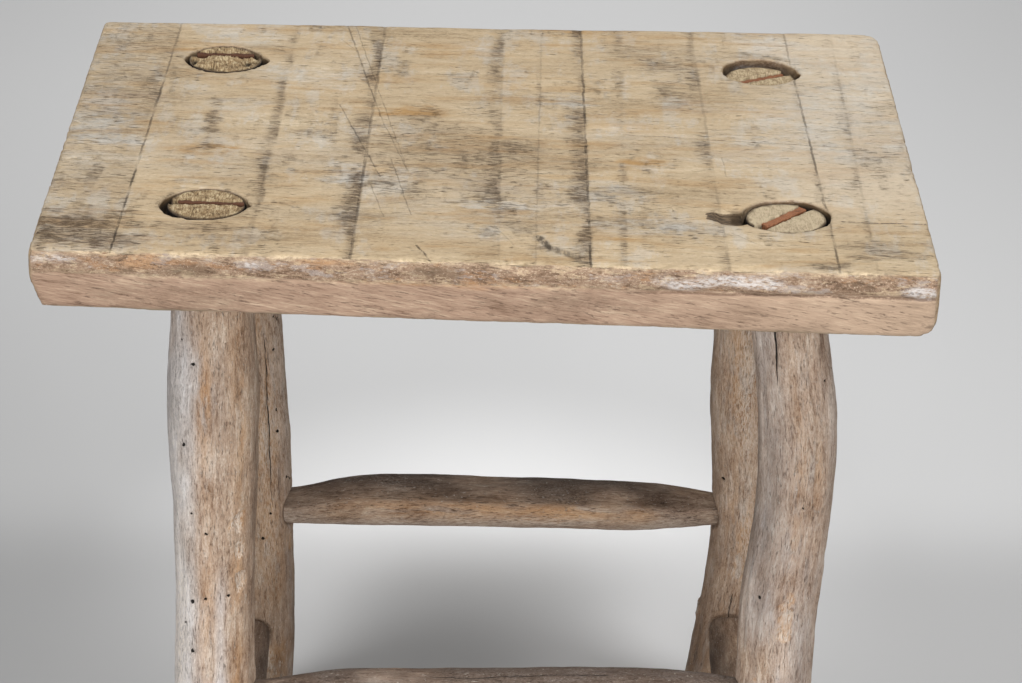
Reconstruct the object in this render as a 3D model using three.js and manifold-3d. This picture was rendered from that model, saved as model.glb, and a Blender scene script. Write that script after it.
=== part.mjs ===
// A rustic milking stool: a sawn board on four branch legs.
// The top of each leg is a tenon that passes right through the board, split by a kerf and spread
// by a wedge. Four round stretchers with whittled ends sit in blind sockets in the legs.
// Millimetres, +Z up, -Y to the front, +X to the right as seen from the front. The origin is on
// the floor, below the middle of the seat.
import * as THREE from "three";
import { mergeVertices } from "three/addons/utils/BufferGeometryUtils.js";
import Module from "manifold-3d";

const wasm = await Module();
wasm.setup();

// Seat board.
const SEAT_WIDTH = 374;
const SEAT_DEPTH = 260;
const SEAT_TOP = 380;
const SEAT_THICKNESS = 27;
const SEAT_TAPER = 1.2; // the board is this much thicker at its right end and thinner at its left
const ARRIS = 1.2; // worn edge all round the board
const WANE_HEIGHT = 9.5; // upper part of the front face, which leans back
const WANE_SETBACK = 1.4;
const LEFT_CLIP_WIDTH = 5; // lower edge of the left end, cut off at a slant
const LEFT_CLIP_HEIGHT = 13;
const RIGHT_ROUND = 9; // lower edge of the right end, rounded
const SCOOP = { x: 105, y: -78.5, width: 18, length: 17, depth: 2.6 }; // a shallow gouge in the top

// Corners of the board, each with its own rounding. Its ends and its back are not quite square.
const CORNERS = [
  { x: -SEAT_WIDTH / 2 + 4, y: -SEAT_DEPTH / 2, round: 2.5 },
  { x: SEAT_WIDTH / 2, y: -SEAT_DEPTH / 2, round: 6 },
  { x: SEAT_WIDTH / 2 - 3, y: SEAT_DEPTH / 2 + 0.2, round: 11 },
  { x: -SEAT_WIDTH / 2, y: SEAT_DEPTH / 2 - 11, round: 3.5 },
];

// Joints.
const CLEARANCE = 0.35; // gap between a piece and the hole that it sits in
const WEDGE_DEPTH = 22; // how far a wedge is driven into its tenon
const WEDGE_TIP = 1; // thickness of a wedge's lower edge
const KERF_LENGTH = 60; // longer than any tenon is wide, so that the kerf splits it
const OVERRUN = 5; // how far a cutter runs past the face that it cuts

// Fineness of the round pieces.
const LEG_SIDES = 20;
const STRETCHER_SIDES = 16;
const RINGS_PER_SPAN = 3;

// A branch is a list of stations from one end to the other. Each is the centre of a
// cross-section and its two diameters: [x, y, z, first diameter, second diameter].
// A leg's diameters are along X and Y, and it runs from its foot to a little above the board,
// where its tenon is cut off level.
const LEGS = {
  front_left: [
    [-118.5, -94, 0, 38.5, 38],
    [-118.2, -90.8, 80, 38, 37],
    [-117.2, -88, 143, 37.6, 37],
    [-115.5, -85.6, 211, 36, 36],
    [-114.2, -83.4, 283, 40.6, 40],
    [-114.2, -82, 326, 36, 35],
    [-115, -81.3, 352, 34.6, 31.5],
    [-116, -80.7, 386, 33.6, 29],
  ],
  front_right: [
    [133.5, -90, 0, 36, 35],
    [135.5, -87, 80, 34.8, 34],
    [136.4, -84, 151, 34.4, 34],
    [136.2, -82.2, 197, 35, 34.5],
    [139, -80.8, 236, 32.8, 33],
    [138.4, -79, 282, 34, 34],
    [132.4, -77.6, 325, 32.2, 31.5],
    [129, -76.8, 352, 33.4, 31],
    [126.2, -75.8, 386, 35, 30],
  ],
  back_left: [
    [-118.5, 92, 0, 37.4, 36],
    [-116, 89.5, 47, 37, 36.5],
    [-115, 86.5, 120, 36.6, 36],
    [-117.3, 83.2, 196, 36.2, 36],
    [-121.5, 79, 310, 35.6, 35],
    [-123.4, 77.2, 352, 35, 32.5],
    [-124.7, 76.3, 386, 34.4, 31],
  ],
  back_right: [
    [120.5, 92, 0, 34, 34],
    [126, 90, 40, 34.6, 34.5],
    [130.8, 88.3, 80, 35, 34.5],
    [133.8, 86.8, 120, 34.6, 34.5],
    [132.2, 85.2, 160, 35, 34.5],
    [128.4, 83.6, 208, 35, 35],
    [127.4, 81, 300, 34.2, 34],
    [125.6, 79.8, 352, 34, 31],
    [124.4, 79.3, 386, 33.6, 29.5],
  ],
};

// How far the end of each tenon lies below the top of the board.
const TENON_DROP = { front_left: 0.3, front_right: 1.5, back_left: 0.3, back_right: 4 };

// The front and back stretchers run along X, with diameters along Y and Z.
const CROSS_STRETCHERS = {
  front: [
    [-112.5, -87.5, 133, 17.6, 18],
    [-98, -87.4, 133.4, 18.4, 19],
    [-60, -86.8, 136.4, 25.4, 25],
    [0, -86.2, 138.4, 26.6, 26],
    [80, -85.2, 140.2, 26, 26],
    [119, -84.6, 139.6, 19.6, 20],
    [133, -84.4, 139.4, 18, 18],
  ],
  back: [
    [-111, 85.5, 132, 17.4, 17.6],
    [-95, 85.5, 132.4, 18, 18.4],
    [-58, 85.5, 137.6, 25.6, 26],
    [10, 85.7, 138.4, 26.2, 26],
    [82, 85.9, 138, 25, 25],
    [116, 86.2, 137.6, 17.4, 17.4],
    [131, 86.2, 137.6, 17, 17],
  ],
};

// The side stretchers sit lower, and run along Y, with diameters along Z and X.
const SIDE_STRETCHERS = {
  left: [
    [-118.4, -88, 58, 19, 19.4],
    [-118.4, -70, 58.4, 20.6, 21],
    [-119, -34, 61.6, 25.4, 25.6],
    [-119, 30, 62.4, 25, 25.4],
    [-118.8, 70, 61, 21.4, 22],
    [-118.6, 87, 60.6, 19.4, 20],
  ],
  right: [
    [133.6, -85, 66, 19, 19.6],
    [133.4, -67, 66.4, 21, 21.4],
    [131.6, -30, 69.6, 25.6, 26],
    [130, 34, 71.6, 25, 25.4],
    [128.8, 69, 71, 22, 22.6],
    [128.6, 86, 70.8, 19.6, 20],
  ],
};

// A wedge's place is the middle of its top edge, and its turn is measured from +X.
const WEDGES = {
  front_left: { x: -114, y: -78.4, length: 28, thickness: 2.2, turn: -1, drop: 0.6 },
  front_right: { x: 126.4, y: -73.4, length: 25, thickness: 4, turn: 46, drop: 2 },
  back_left: { x: -125, y: 83.4, length: 27, thickness: 3, turn: 1, drop: 0.8 },
  back_right: { x: 125, y: 81.6, length: 26, thickness: 3, turn: 29, drop: 4.6 },
};

// Each round piece's own pattern of bumps.
const CHARACTER = {
  front_left: 0.4, front_right: 2.1, back_left: 3.7, back_right: 5.2,
  front: 1.3, back: 4.4, left: 2.8, right: 0.9,
};

const COLOURS = { seat: 0xb9a685, leg: 0xa08a76, stretcher: 0x8d7a68, wedge: 0x8f5f47 };

function toSolid(geometry) {
  geometry.deleteAttribute("normal");
  geometry.deleteAttribute("uv");
  const merged = mergeVertices(geometry);
  return new wasm.Manifold(
    new wasm.Mesh({
      numProp: 3,
      vertProperties: Float32Array.from(merged.attributes.position.array),
      triVerts: Uint32Array.from(merged.index.array),
    }),
  );
}

function toGeometry(solid) {
  const { vertProperties, triVerts } = solid.getMesh();
  const geometry = new THREE.BufferGeometry();
  geometry.setAttribute("position", new THREE.BufferAttribute(vertProperties, 3));
  geometry.setIndex(new THREE.BufferAttribute(triVerts, 1));
  geometry.computeVertexNormals();
  return geometry;
}

const cutAll = (solid, cutters) => cutters.reduce((rest, cutter) => rest.subtract(cutter), solid);

const X = new THREE.Vector3(1, 0, 0);
const Y = new THREE.Vector3(0, 1, 0);
const Z = new THREE.Vector3(0, 0, 1);

// The two directions across a branch, for each direction that a branch can run in.
const ACROSS = { x: [Y, Z], y: [Z, X], z: [X, Y] };

// How a branch's wall wanders in and out around it, as a share of its radius.
function knobbliness(angle, along, character) {
  const oval = 0.016 * Math.cos(2 * angle + 4 * along + character);
  const facets = 0.012 * Math.cos(3 * angle - 7 * along + 2.3 * character);
  const knots = 0.008 * Math.cos(5 * angle + 11 * along + 5.1 * character);
  return 1 + oval + facets + knots;
}

// A branch through its stations. grow swells it on every side and past both ends, which makes
// the cutter for the hole that it sits in.
function branch(stations, direction, sides, character, grow = 0) {
  const [first, second] = ACROSS[direction];
  const along = { x: X, y: Y, z: Z }[direction];
  const centres = stations.map(([x, y, z]) => new THREE.Vector3(x, y, z));
  const girths = stations.map(([, , , one, other]) => new THREE.Vector3(one, other, 0));
  centres[0].addScaledVector(along, -grow);
  centres.at(-1).addScaledVector(along, grow);
  const centreLine = new THREE.CatmullRomCurve3(centres, false, "catmullrom", 0.5);
  const girthLine = new THREE.CatmullRomCurve3(girths, false, "catmullrom", 0.5);

  const rings = RINGS_PER_SPAN * (stations.length - 1);
  const geometry = new THREE.CylinderGeometry(1, 1, 1, sides, rings).rotateX(Math.PI / 2);
  const position = geometry.attributes.position;
  const point = new THREE.Vector3();
  for (let i = 0; i < position.count; i += 1) {
    const share = THREE.MathUtils.clamp(position.getZ(i) + 0.5, 0, 1);
    const angle = Math.atan2(position.getY(i), position.getX(i));
    const reach = Math.hypot(position.getX(i), position.getY(i));
    const girth = girthLine.getPoint(share);
    const swell = knobbliness(angle, share, character);
    const across = reach * ((girth.x / 2) * swell + grow) * Math.cos(angle);
    const upright = reach * ((girth.y / 2) * swell + grow) * Math.sin(angle);
    centreLine.getPoint(share, point).addScaledVector(first, across).addScaledVector(second, upright);
    position.setXYZ(i, point.x, point.y, point.z);
  }
  return toSolid(geometry);
}

// A tapered blade under a top edge of the given length, turned and set in place.
function blade({ x, y, turn, thickness }, length, top, rise, grow) {
  const spread = (thickness - WEDGE_TIP) / WEDGE_DEPTH;
  const upper = (thickness + rise * spread) / 2 + grow;
  const lower = WEDGE_TIP / 2 + grow;
  const section = new THREE.Shape()
    .moveTo(-upper, rise)
    .lineTo(-lower, -WEDGE_DEPTH - grow)
    .lineTo(lower, -WEDGE_DEPTH - grow)
    .lineTo(upper, rise);
  const geometry = new THREE.ExtrudeGeometry(section, { depth: length, bevelEnabled: false })
    .applyMatrix4(new THREE.Matrix4().makeBasis(Y, Z, X))
    .translate(-length / 2, 0, 0)
    .rotateZ(THREE.MathUtils.degToRad(turn))
    .translate(x, y, top);
  return toSolid(geometry);
}

const wedgeSolid = (wedge) => blade(wedge, wedge.length, SEAT_TOP - wedge.drop, 0, 0);
const kerfCutter = (wedge) => blade(wedge, KERF_LENGTH, SEAT_TOP - wedge.drop, OVERRUN, CLEARANCE);

function boardOutline() {
  const shape = new THREE.Shape();
  CORNERS.forEach((corner, i) => {
    const before = CORNERS.at(i - 1);
    const after = CORNERS[(i + 1) % CORNERS.length];
    const here = new THREE.Vector2(corner.x, corner.y);
    const enter = new THREE.Vector2(before.x, before.y).sub(here).setLength(corner.round).add(here);
    const leave = new THREE.Vector2(after.x, after.y).sub(here).setLength(corner.round).add(here);
    if (i === 0) shape.moveTo(enter.x, enter.y);
    else shape.lineTo(enter.x, enter.y);
    shape.quadraticCurveTo(here.x, here.y, leave.x, leave.y);
  });
  return shape;
}

// The board before it is cut: flat on top, with an underside that falls towards the right end.
function boardBlank() {
  const geometry = new THREE.ExtrudeGeometry(boardOutline(), {
    depth: SEAT_THICKNESS - 2 * ARRIS,
    bevelThickness: ARRIS,
    bevelSize: ARRIS,
    bevelOffset: -ARRIS,
    bevelSegments: 2,
    curveSegments: 5,
  }).translate(0, 0, SEAT_TOP - SEAT_THICKNESS + ARRIS);
  const position = geometry.attributes.position;
  for (let i = 0; i < position.count; i += 1) {
    const isLower = position.getZ(i) < SEAT_TOP - SEAT_THICKNESS / 2;
    const fall = SEAT_TAPER * (position.getX(i) / (SEAT_WIDTH / 2));
    if (isLower) position.setZ(i, position.getZ(i) - fall);
  }
  return toSolid(geometry);
}

// A section in X and Z, carried along one end of the board from its front corner.
function endCutter(section, corner, nextCorner) {
  const length = SEAT_DEPTH + 2 * OVERRUN;
  const slant = Math.atan2(corner.x - nextCorner.x, nextCorner.y - corner.y);
  const options = { depth: length, bevelEnabled: false, curveSegments: 6 };
  const geometry = new THREE.ExtrudeGeometry(section, options)
    .rotateX(Math.PI / 2)
    .translate(0, length - OVERRUN, 0)
    .rotateZ(slant)
    .translate(corner.x, corner.y, 0);
  return toSolid(geometry);
}

function leftClip() {
  const bottom = SEAT_TOP - SEAT_THICKNESS + SEAT_TAPER;
  const slope = LEFT_CLIP_WIDTH / LEFT_CLIP_HEIGHT;
  const section = new THREE.Shape()
    .moveTo(-OVERRUN, bottom - OVERRUN)
    .lineTo(LEFT_CLIP_WIDTH + OVERRUN * slope, bottom - OVERRUN)
    .lineTo(0, bottom + LEFT_CLIP_HEIGHT)
    .lineTo(-OVERRUN, bottom + LEFT_CLIP_HEIGHT + OVERRUN / slope);
  return endCutter(section, CORNERS[0], CORNERS[3]);
}

function rightRounding() {
  const bottom = SEAT_TOP - SEAT_THICKNESS - SEAT_TAPER;
  const section = new THREE.Shape()
    .moveTo(-RIGHT_ROUND, bottom - OVERRUN)
    .lineTo(OVERRUN, bottom - OVERRUN)
    .lineTo(OVERRUN, bottom + RIGHT_ROUND)
    .lineTo(0, bottom + RIGHT_ROUND)
    .absarc(-RIGHT_ROUND, bottom + RIGHT_ROUND, RIGHT_ROUND, 0, -Math.PI / 2, true);
  return endCutter(section, CORNERS[1], CORNERS[2]);
}

function frontWane() {
  const size = 4 * SEAT_THICKNESS;
  const lean = Math.atan2(WANE_SETBACK, WANE_HEIGHT);
  const geometry = new THREE.BoxGeometry(SEAT_WIDTH + 2 * OVERRUN, size, size)
    .translate(0, -size / 2, size / 2)
    .rotateX(-lean)
    .translate(0, -SEAT_DEPTH / 2, SEAT_TOP - WANE_HEIGHT);
  return toSolid(geometry);
}

// The gouge beside the front right tenon.
function scoopCutter() {
  const geometry = new THREE.SphereGeometry(1, 16, 10)
    .scale(SCOOP.width / 2, SCOOP.length / 2, SCOOP.depth)
    .translate(SCOOP.x, SCOOP.y, SEAT_TOP);
  return toSolid(geometry);
}

const legSolid = (corner, grow) => branch(LEGS[corner], "z", LEG_SIDES, CHARACTER[corner], grow);
const crossSolid = (side, grow) =>
  branch(CROSS_STRETCHERS[side], "x", STRETCHER_SIDES, CHARACTER[side], grow);
const sideSolid = (side, grow) =>
  branch(SIDE_STRETCHERS[side], "y", STRETCHER_SIDES, CHARACTER[side], grow);

// Everything within reach of one leg's tenon that is above the tenon's own end.
function tenonTrim(corner) {
  const [x, y] = LEGS[corner].at(-1);
  const size = KERF_LENGTH;
  const base = SEAT_TOP - TENON_DROP[corner];
  return toSolid(new THREE.BoxGeometry(size, size, size).translate(x, y, base + size / 2));
}

// A leg is trimmed at its top, and loses a kerf and a socket for each stretcher that meets it.
function fittedLeg(corner) {
  const [frontOrBack, leftOrRight] = corner.split("_");
  return cutAll(legSolid(corner), [
    tenonTrim(corner),
    kerfCutter(WEDGES[corner]),
    crossSolid(frontOrBack, CLEARANCE),
    sideSolid(leftOrRight, CLEARANCE),
  ]);
}

function fittedBoard() {
  const mortises = Object.keys(LEGS).map((corner) => legSolid(corner, CLEARANCE));
  return cutAll(boardBlank(), [leftClip(), rightRounding(), frontWane(), scoopCutter(), ...mortises]);
}

// A named piece whose own origin is at the given place in the stool.
function piece(name, solid, [x, y, z], colour, roughness) {
  const material = new THREE.MeshStandardMaterial({ color: colour, roughness, metalness: 0 });
  const mesh = new THREE.Mesh(toGeometry(solid).translate(-x, -y, -z), material);
  mesh.name = name;
  mesh.position.set(x, y, z);
  return mesh;
}

const stool = new THREE.Group();
stool.add(piece("seat_plank", fittedBoard(), [0, 0, SEAT_TOP], COLOURS.seat, 0.85));
for (const corner of Object.keys(LEGS)) {
  const wedge = WEDGES[corner];
  const wedgePlace = [wedge.x, wedge.y, SEAT_TOP - wedge.drop];
  stool.add(piece(`leg_${corner}`, fittedLeg(corner), LEGS[corner][0], COLOURS.leg, 0.9));
  stool.add(piece(`wedge_${corner}`, wedgeSolid(wedge), wedgePlace, COLOURS.wedge, 0.8));
}
for (const [side, stations] of Object.entries(CROSS_STRETCHERS)) {
  stool.add(piece(`stretcher_${side}`, crossSolid(side), stations[0], COLOURS.stretcher, 0.9));
}
for (const [side, stations] of Object.entries(SIDE_STRETCHERS)) {
  stool.add(piece(`stretcher_${side}`, sideSolid(side), stations[0], COLOURS.stretcher, 0.9));
}

export default stool;
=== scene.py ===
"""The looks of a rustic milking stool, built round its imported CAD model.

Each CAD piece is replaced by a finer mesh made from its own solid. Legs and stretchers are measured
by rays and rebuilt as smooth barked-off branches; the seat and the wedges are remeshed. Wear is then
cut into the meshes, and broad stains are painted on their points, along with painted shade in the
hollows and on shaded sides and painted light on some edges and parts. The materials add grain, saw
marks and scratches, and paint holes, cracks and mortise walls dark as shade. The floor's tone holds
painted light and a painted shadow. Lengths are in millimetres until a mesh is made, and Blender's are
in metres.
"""
import collections
import itertools
import math

import bpy
import numpy as np
from mathutils import Matrix, Vector
from mathutils.bvhtree import BVHTree


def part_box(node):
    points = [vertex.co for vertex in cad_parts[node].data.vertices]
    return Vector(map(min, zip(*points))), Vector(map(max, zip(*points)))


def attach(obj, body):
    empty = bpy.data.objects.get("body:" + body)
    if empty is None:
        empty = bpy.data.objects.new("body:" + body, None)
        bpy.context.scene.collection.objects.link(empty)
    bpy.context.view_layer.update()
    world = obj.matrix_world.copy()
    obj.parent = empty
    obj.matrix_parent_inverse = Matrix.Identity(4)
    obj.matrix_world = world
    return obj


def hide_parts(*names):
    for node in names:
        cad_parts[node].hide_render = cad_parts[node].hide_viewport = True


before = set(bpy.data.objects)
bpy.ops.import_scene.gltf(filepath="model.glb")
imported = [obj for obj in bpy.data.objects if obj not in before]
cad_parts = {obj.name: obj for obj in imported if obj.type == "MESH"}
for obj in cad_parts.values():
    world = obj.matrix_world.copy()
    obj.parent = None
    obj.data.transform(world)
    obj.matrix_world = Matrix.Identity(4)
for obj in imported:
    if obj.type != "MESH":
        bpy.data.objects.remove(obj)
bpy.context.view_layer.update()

MM = 0.001
BODY = "root"
CHOSEN = "chosen"  # name of the vertex group that a modifier is limited to


# ---------------------------------------------------------------- numbers at points

def smooth(value, low, high):
    """0 at low, 1 at high, and smooth between them. High may be less than low."""
    share = np.clip((value - low) / (high - low), 0, 1)
    return share * share * (3 - 2 * share)


def bell(value, width):
    """1 where value is 0, falling to nothing a few widths away."""
    return np.exp(-((value / width) ** 2))


def noise(points, seed):
    """Smooth noise between -1 and 1, with about one swing in each unit of distance."""
    cell = np.floor(points).astype(np.int64)
    part = points - cell
    fade = part * part * (3 - 2 * part)
    total = np.zeros(len(points))
    for corner in itertools.product((0, 1), repeat=3):
        key = ((cell + corner) * (73856093, 19349663, 83492791)).sum(1) + seed * 2654435761
        key = ((key ^ (key >> 15)) * 1274126177) & 0xFFFFFFFF
        key = ((key ^ (key >> 13)) * 1103515245) & 0xFFFFFFFF
        value = (key >> 8 & 0xFFFF) / 0x7FFF - 1
        weight = np.where(corner, fade, 1 - fade).prod(1)
        total += value * weight
    return total


def rough_noise(points, seed, layers=3):
    """Noise with finer and fainter layers added to it."""
    return sum(noise(points * 2**i, seed + 17 * i) / 2**i for i in range(layers))


def patches(points, places, seed, ragged=0.45):
    """How far each point lies inside any of some ragged ovals.

    An oval is (x, y, half length, half width, strength).
    """
    total = np.zeros(len(points))
    edge = ragged * rough_noise(points * (0.06, 0.22, 0.22), seed)
    for x, y, length, width, strength in places:
        out = np.hypot((points[:, 0] - x) / length, (points[:, 1] - y) / width)
        total = np.maximum(total, strength * smooth(out + edge, 1.15, 0.35))
    return total


# ---------------------------------------------------------------- meshes

def new_object(name, data):
    """An object in the scene that shows a mesh, a lamp or a camera."""
    thing = bpy.data.objects.new(name, data)
    bpy.context.scene.collection.objects.link(thing)
    return thing


def point_array(mesh, field="co"):
    """A mesh's points or normals, one in each row."""
    values = np.zeros(len(mesh.vertices) * 3, np.float32)
    mesh.vertices.foreach_get(field, values)
    return values.reshape(-1, 3).astype(float)


def move_points(mesh, points):
    """Puts a mesh's points at places given in millimetres."""
    mesh.vertices.foreach_set("co", (points * MM).astype(np.float32).ravel())
    mesh.update()


def set_attribute(mesh, name, kind, values):
    """Stores values at a mesh's points under a name that a material can read."""
    attribute = mesh.attributes.new(name, kind, "POINT")
    key = {"FLOAT_COLOR": "color", "FLOAT_VECTOR": "vector", "FLOAT": "value"}[kind]
    attribute.data.foreach_set(key, np.ascontiguousarray(values, np.float32).ravel())


def dress(mesh, grain, paint, zone, hollow_shade, **offsets):
    """Stores what the materials read: grain (along Z, in millimetres), stains with painted shade and
    light, zones and painted shade in hollows.

    offsets are how each point lies from the nearest fine marks, by the name that the material knows.
    """
    set_attribute(mesh, "grain", "FLOAT_VECTOR", grain)
    set_attribute(mesh, "paint", "FLOAT_COLOR", np.clip(paint, 0, 1))
    set_attribute(mesh, "zone", "FLOAT_COLOR", np.clip(zone, 0, 1))
    set_attribute(mesh, "hollow_shade", "FLOAT", np.clip(hollow_shade, 0, 1))
    for name, values in offsets.items():
        set_attribute(mesh, name, "FLOAT_VECTOR", values)


def show(node, mesh, material):
    """Puts a finished mesh in the scene in place of its CAD node."""
    mesh.name = node + "_worn"
    mesh.materials.clear()
    mesh.materials.append(material)
    mesh.polygons.foreach_set("use_smooth", [True] * len(mesh.polygons))
    piece = new_object(node + "_worn", mesh)
    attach(piece, BODY)
    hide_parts(node)


def evaluated(source, *steps, chosen=None):
    """A copy of a mesh after some modifiers: (type, settings).

    chosen lists the points of the group that a modifier may be limited to.
    """
    holder = new_object("holder", source)
    if chosen:
        holder.vertex_groups.new(name=CHOSEN).add(chosen, 1.0, "REPLACE")
    for kind, settings in steps:
        modifier = holder.modifiers.new(kind.lower(), kind)
        for key, value in settings.items():
            setattr(modifier, key, value)
    graph = bpy.context.evaluated_depsgraph_get()
    mesh = bpy.data.meshes.new_from_object(holder.evaluated_get(graph))
    bpy.data.objects.remove(holder)
    return mesh


def even_mesh(node, voxel, rounds):
    """A CAD node's solid with an even fine mesh, its edges eased by some rounds of smoothing."""
    return evaluated(
        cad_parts[node].data.copy(),
        ("REMESH", {"mode": "VOXEL", "voxel_size": voxel * MM, "adaptivity": 0}),
        ("SMOOTH", {"factor": 0.5, "iterations": rounds}),
    )


# ---------------------------------------------------------------- branches

# For a branch along each axis: its first and second directions across, then the one along it.
ORDER = {"x": (1, 2, 0), "y": (2, 0, 1), "z": (0, 1, 2)}
WAVES = 4  # how many waves round a branch its measured section keeps
SKIN = 0.95  # spacing of a branch's points
HOLE_REACH = 3.4  # how far round a worm hole the points are drawn in to it
STRETCHER_INSET = 16.0  # from a stretcher's end to where it enters the leg
SHOULDER = 351  # about how high a leg enters the board and becomes its tenon


def spokes_at(angles):
    """The way outwards at some angles."""
    return np.stack([np.cos(angles), np.sin(angles)], -1)


def waves_at(angles):
    """The waves that a section is a sum of, one in each column, at some angles."""
    rows = [np.ones_like(angles)]
    for count in range(1, WAVES + 1):
        rows += [np.cos(count * angles), np.sin(count * angles)]
    return np.stack(rows, -1)


def blur(values, heights, reach):
    """Averages the rows of values over neighbouring heights."""
    weights = bell(heights[:, None] - heights[None], reach)
    return (weights / weights.sum(1, keepdims=True)) @ values


class Branch:
    """The centre line and sections of a round CAD piece, found by rays cast inwards from all round."""

    def __init__(self, node, axis, stations=72, rays=48, far=60.0):
        self.order = ORDER[axis]
        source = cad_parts[node].data
        points = point_array(source)[:, self.order] / MM
        solid = BVHTree.FromPolygons(
            [Vector(p) for p in points], [p.vertices[:] for p in source.polygons]
        )
        self.low, self.high = points[:, 2].min(), points[:, 2].max()
        self.heights = np.linspace(self.low + 0.2, self.high - 0.2, stations)
        angles = np.arange(rays) * 2 * math.pi / rays
        spokes = spokes_at(angles)
        waves = waves_at(angles)
        centres, sections = [], []
        centre = points[points[:, 2] < self.low + 1, :2].mean(0)
        for height in self.heights:
            for _ in range(4):
                reach = np.array([self.wall(solid, centre, spoke, height, far) for spoke in spokes])
                usable = reach > 0.9 * np.nanmedian(reach)
                usable &= np.roll(usable, 1) & np.roll(usable, -1)
                section = np.linalg.lstsq(waves[usable], reach[usable], rcond=None)[0]
                centre = centre + section[1:3]
            section[1:3] = 0
            centres.append(centre)
            sections.append(section)
        self.centres = blur(np.array(centres), self.heights, 7)
        self.sections = blur(np.array(sections), self.heights, 7)
        self.mean_radius = self.sections[:, 0].mean()

    @staticmethod
    def wall(solid, centre, spoke, height, far):
        """How far from the centre a ray from outside meets the solid."""
        start = Vector((*(centre + spoke * far), height))
        distance = solid.ray_cast(start, Vector((*-spoke, 0)))[3]
        return np.nan if distance is None else far - distance

    def read(self, table, height):
        """The rows of a table, worked out at heights between its own."""
        columns = [np.interp(height, self.heights, column) for column in table.T]
        return np.stack(columns, -1)

    def centre(self, height):
        """The centre line's place across the branch at each height."""
        return self.read(self.centres, height)

    def radius(self, height, angle):
        """The wall's distance from the centre line at each height and angle."""
        return (self.read(self.sections, height) * waves_at(angle)).sum(-1)

    def girth(self, height):
        """The section's mean radius at a height."""
        return np.interp(height, self.heights, self.sections[:, 0])

    def place(self, across, height):
        """Points in the stool's own directions, from the branch's."""
        local = np.concatenate([across, height[..., None]], -1)
        points = np.empty_like(local)
        points[..., self.order] = local
        return points


def wrapped(angle, middle):
    """The angle's distance from a middle one, in degrees, the short way round."""
    return (np.degrees(angle) - middle + 180) % 360 - 180


def arc(angle, middle, radius):
    """The angle's distance from a middle one that is in degrees, in millimetres round the branch."""
    return np.radians(wrapped(angle, middle)) * radius


def rows_of(branch, cap_rows):
    """The rows of a closed branch from pole to pole: their heights, and how far out each one lies."""
    wall = np.linspace(branch.low, branch.high, int((branch.high - branch.low) / SKIN) + 1)
    out = np.linspace(0, 1, cap_rows + 1)[1:-1]
    heights = np.concatenate([np.full(len(out), wall[0]), wall, np.full(len(out), wall[-1])])
    eased = 1 - 0.035 * smooth(wall, branch.high - 1.6, branch.high) ** 2
    eased = eased - 0.05 * smooth(wall, branch.low + 2.4, branch.low) ** 2
    shares = np.concatenate([out * eased[0], eased, out[::-1] * eased[-1]])
    return heights, shares


def grid_faces(rows, columns):
    """Quads over a closed grid, and triangles to a pole at each end."""
    row, column = np.meshgrid(np.arange(rows - 1), np.arange(columns), indexing="ij")
    after = (column + 1) % columns
    corners = [(row, column), (row, after), (row + 1, after), (row + 1, column)]
    quads = np.stack([level * columns + side for level, side in corners], -1).reshape(-1, 4)
    ring = np.arange(columns)
    step = (ring + 1) % columns
    bottom, top = rows * columns, rows * columns + 1
    last = (rows - 1) * columns
    fans = [(bottom, s, r) for r, s in zip(ring, step)]
    fans += [(top, last + r, last + s) for r, s in zip(ring, step)]
    return quads.tolist() + [tuple(int(i) for i in fan) for fan in fans]


def crowd(branch, angle, height, holes):
    """Draws the grid's points in round each worm hole, so that its rim comes out round."""
    for at, level, _ in holes:
        girth = branch.girth(level)
        aside = arc(angle, at, girth)
        above = height - level
        far = np.hypot(aside, above)
        pull = np.where(far < HOLE_REACH, (np.maximum(far, 1e-6) / HOLE_REACH) ** 0.9, 1.0) - 1
        angle = angle + pull * aside / girth
        height = height + pull * above
    return angle, height


def branch_mesh(branch, holes, relief, ends, slot_depth, cap_rows=20):
    """A branch's skin. relief gives its bumps, ends the bumps on its top end, and slot_depth its kerf.

    Returns the mesh, and each point's angle, height before the ends' bumps, share of the way out, depth
    below the top and place along the grain.
    """
    heights, shares = rows_of(branch, cap_rows)
    columns = int(2 * math.pi * branch.mean_radius / SKIN)
    angle, height = np.meshgrid(np.arange(columns) * 2 * math.pi / columns, heights)
    share = np.repeat(shares[:, None], columns, 1)
    is_top = height > branch.high - 0.01
    angle, height = crowd(branch, angle, height, holes)
    spokes = spokes_at(angle)
    base = branch.radius(height, angle)

    grain = np.concatenate([spokes * base[..., None], height[..., None]], -1)
    swell = relief(grain.reshape(-1, 3), angle.ravel(), height.ravel()).reshape(base.shape)
    out = (base + swell) * share
    local = spokes * out[..., None]
    across = branch.centre(height) + local
    lift = ends(local.reshape(-1, 2)).reshape(base.shape)
    raised = height + np.where(is_top, lift * smooth(share, 0.995, 0.9), 0)
    floor = branch.high - slot_depth(across.reshape(-1, 2)).reshape(base.shape)
    raised = np.where(raised > floor, floor + 0.02 * (raised - floor), raised)

    points = branch.place(across, raised).reshape(-1, 3)
    poles = branch.place(branch.centre(heights[[0, -1]]), np.array([branch.low, raised[-1].mean()]))
    mesh = bpy.data.meshes.new("skin")
    mesh.from_pydata(np.concatenate([points, poles]) * MM, [], grid_faces(*base.shape))
    flat_grain = np.concatenate([local, raised[..., None]], -1).reshape(-1, 3)
    info = {
        "angle": np.append(angle.ravel(), [0, 0]),
        "height": np.append(height.ravel(), [branch.low, branch.high]),
        "share": np.append(share.ravel(), [0, 0]),
        "sunk": np.append((branch.high - raised).ravel(), [99, 0]),
        "grain": np.concatenate([flat_grain, [[0, 0, branch.low], [0, 0, branch.high]]]),
    }
    return mesh, info


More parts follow.
